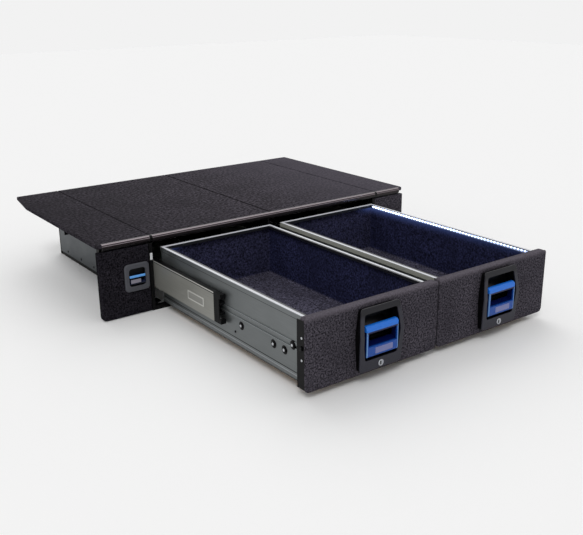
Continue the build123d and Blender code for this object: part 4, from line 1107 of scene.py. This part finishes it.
camera_data = bpy.data.cameras.new("photo_camera")
camera_data.lens = LENS
camera_data.sensor_width = SENSOR
camera = new_object("photo_camera", camera_data)
camera.matrix_world = (
    Matrix.Translation(EYE)
    @ Matrix.Rotation(math.radians(-TURN), 4, "Z")
    @ Matrix.Rotation(math.radians(90 - LOOK_DOWN), 4, "X")
    @ Matrix.Rotation(math.radians(ROLL), 4, "Z"))
bpy.context.scene.camera = camera
print("camera at", EYE)

# %% [markdown]
# The world lights the object less than it shows: the camera, mirrors and glass see it at full
# strength, and surfaces get the rest of their light from the lamps. The floor is whiter for the
# camera alone, so that it meets the backdrop without an edge and still takes a soft shadow.

# %% World and floor
PALE = "#f2f2f2"
FLOOR_SEEN = "#ffffff"
SKY_LIGHT = 0.6  # how much of a white surface's light comes from the sky
FLOOR_HALF = 14.0  # metres

bpy.context.scene.view_settings.view_transform = "Standard"
world = bpy.data.worlds.new("pale_studio")
bpy.context.scene.world = world
world.use_nodes = True
tree = world.node_tree
tree.nodes.clear()
path = add(tree, "LightPath").outputs
seen = calculate("MAXIMUM", path["Is Camera Ray"], path["Is Glossy Ray"], path["Is Transmission Ray"])
strength = add(tree, "MapRange", {"Value": seen, "To Min": SKY_LIGHT, "To Max": 1.0})
sky = add(tree, "Background", {"Color": linear(PALE), "Strength": strength})
add(tree, "OutputWorld", {"Surface": sky})

floor_mesh = bpy.data.meshes.new("studio_floor")
floor_corners = FLOOR_HALF * np.array([(-1, -1, 0), (1, -1, 0), (1, 1, 0), (-1, 1, 0)])
floor_mesh.from_pydata(floor_corners.tolist(), [], [(0, 1, 2, 3)])
floor = new_object("studio_floor", floor_mesh)
floor_paint, tree, shader, _ = new_material("floor_paint", **{"Roughness": 1.0, "Specular IOR Level": 0.0})
seen = add(tree, "LightPath").outputs["Is Camera Ray"]
paint = add(tree, "Mix", {"Factor": seen, "A": linear(PALE), "B": linear(FLOOR_SEEN)}, data_type="RGBA")
fill(shader, {"Base Color": paint})
floor_mesh.materials.append(floor_paint)
print("world", world.name, "and floor", floor.name)

# %% [markdown]
# Both lamps are far and wide in the sky, so their shadows are soft. The key lamp stands at the
# front left, and the back lamp, behind at the right, gives the deck and the rails a pale edge.

# %% Lamps
def lamp(name, place, strength, spread):
    """A lamp that shines from a place towards the origin. Its spread is its angle in the sky."""
    data = bpy.data.lights.new(name, "SUN")
    data.energy = strength
    data.angle = math.radians(spread)
    made = new_object(name, data)
    turn = Vector(place).to_track_quat("Z", "Y").to_matrix().to_4x4()
    made.matrix_world = Matrix.Translation(place) @ turn
    return made


key = lamp("key_lamp", (-2.6, -2.6, 4.2), strength=0.9, spread=22)
back = lamp("back_lamp", (1.6, 3.4, 3.6), strength=0.7, spread=50)
print("lamps", key.name, back.name)
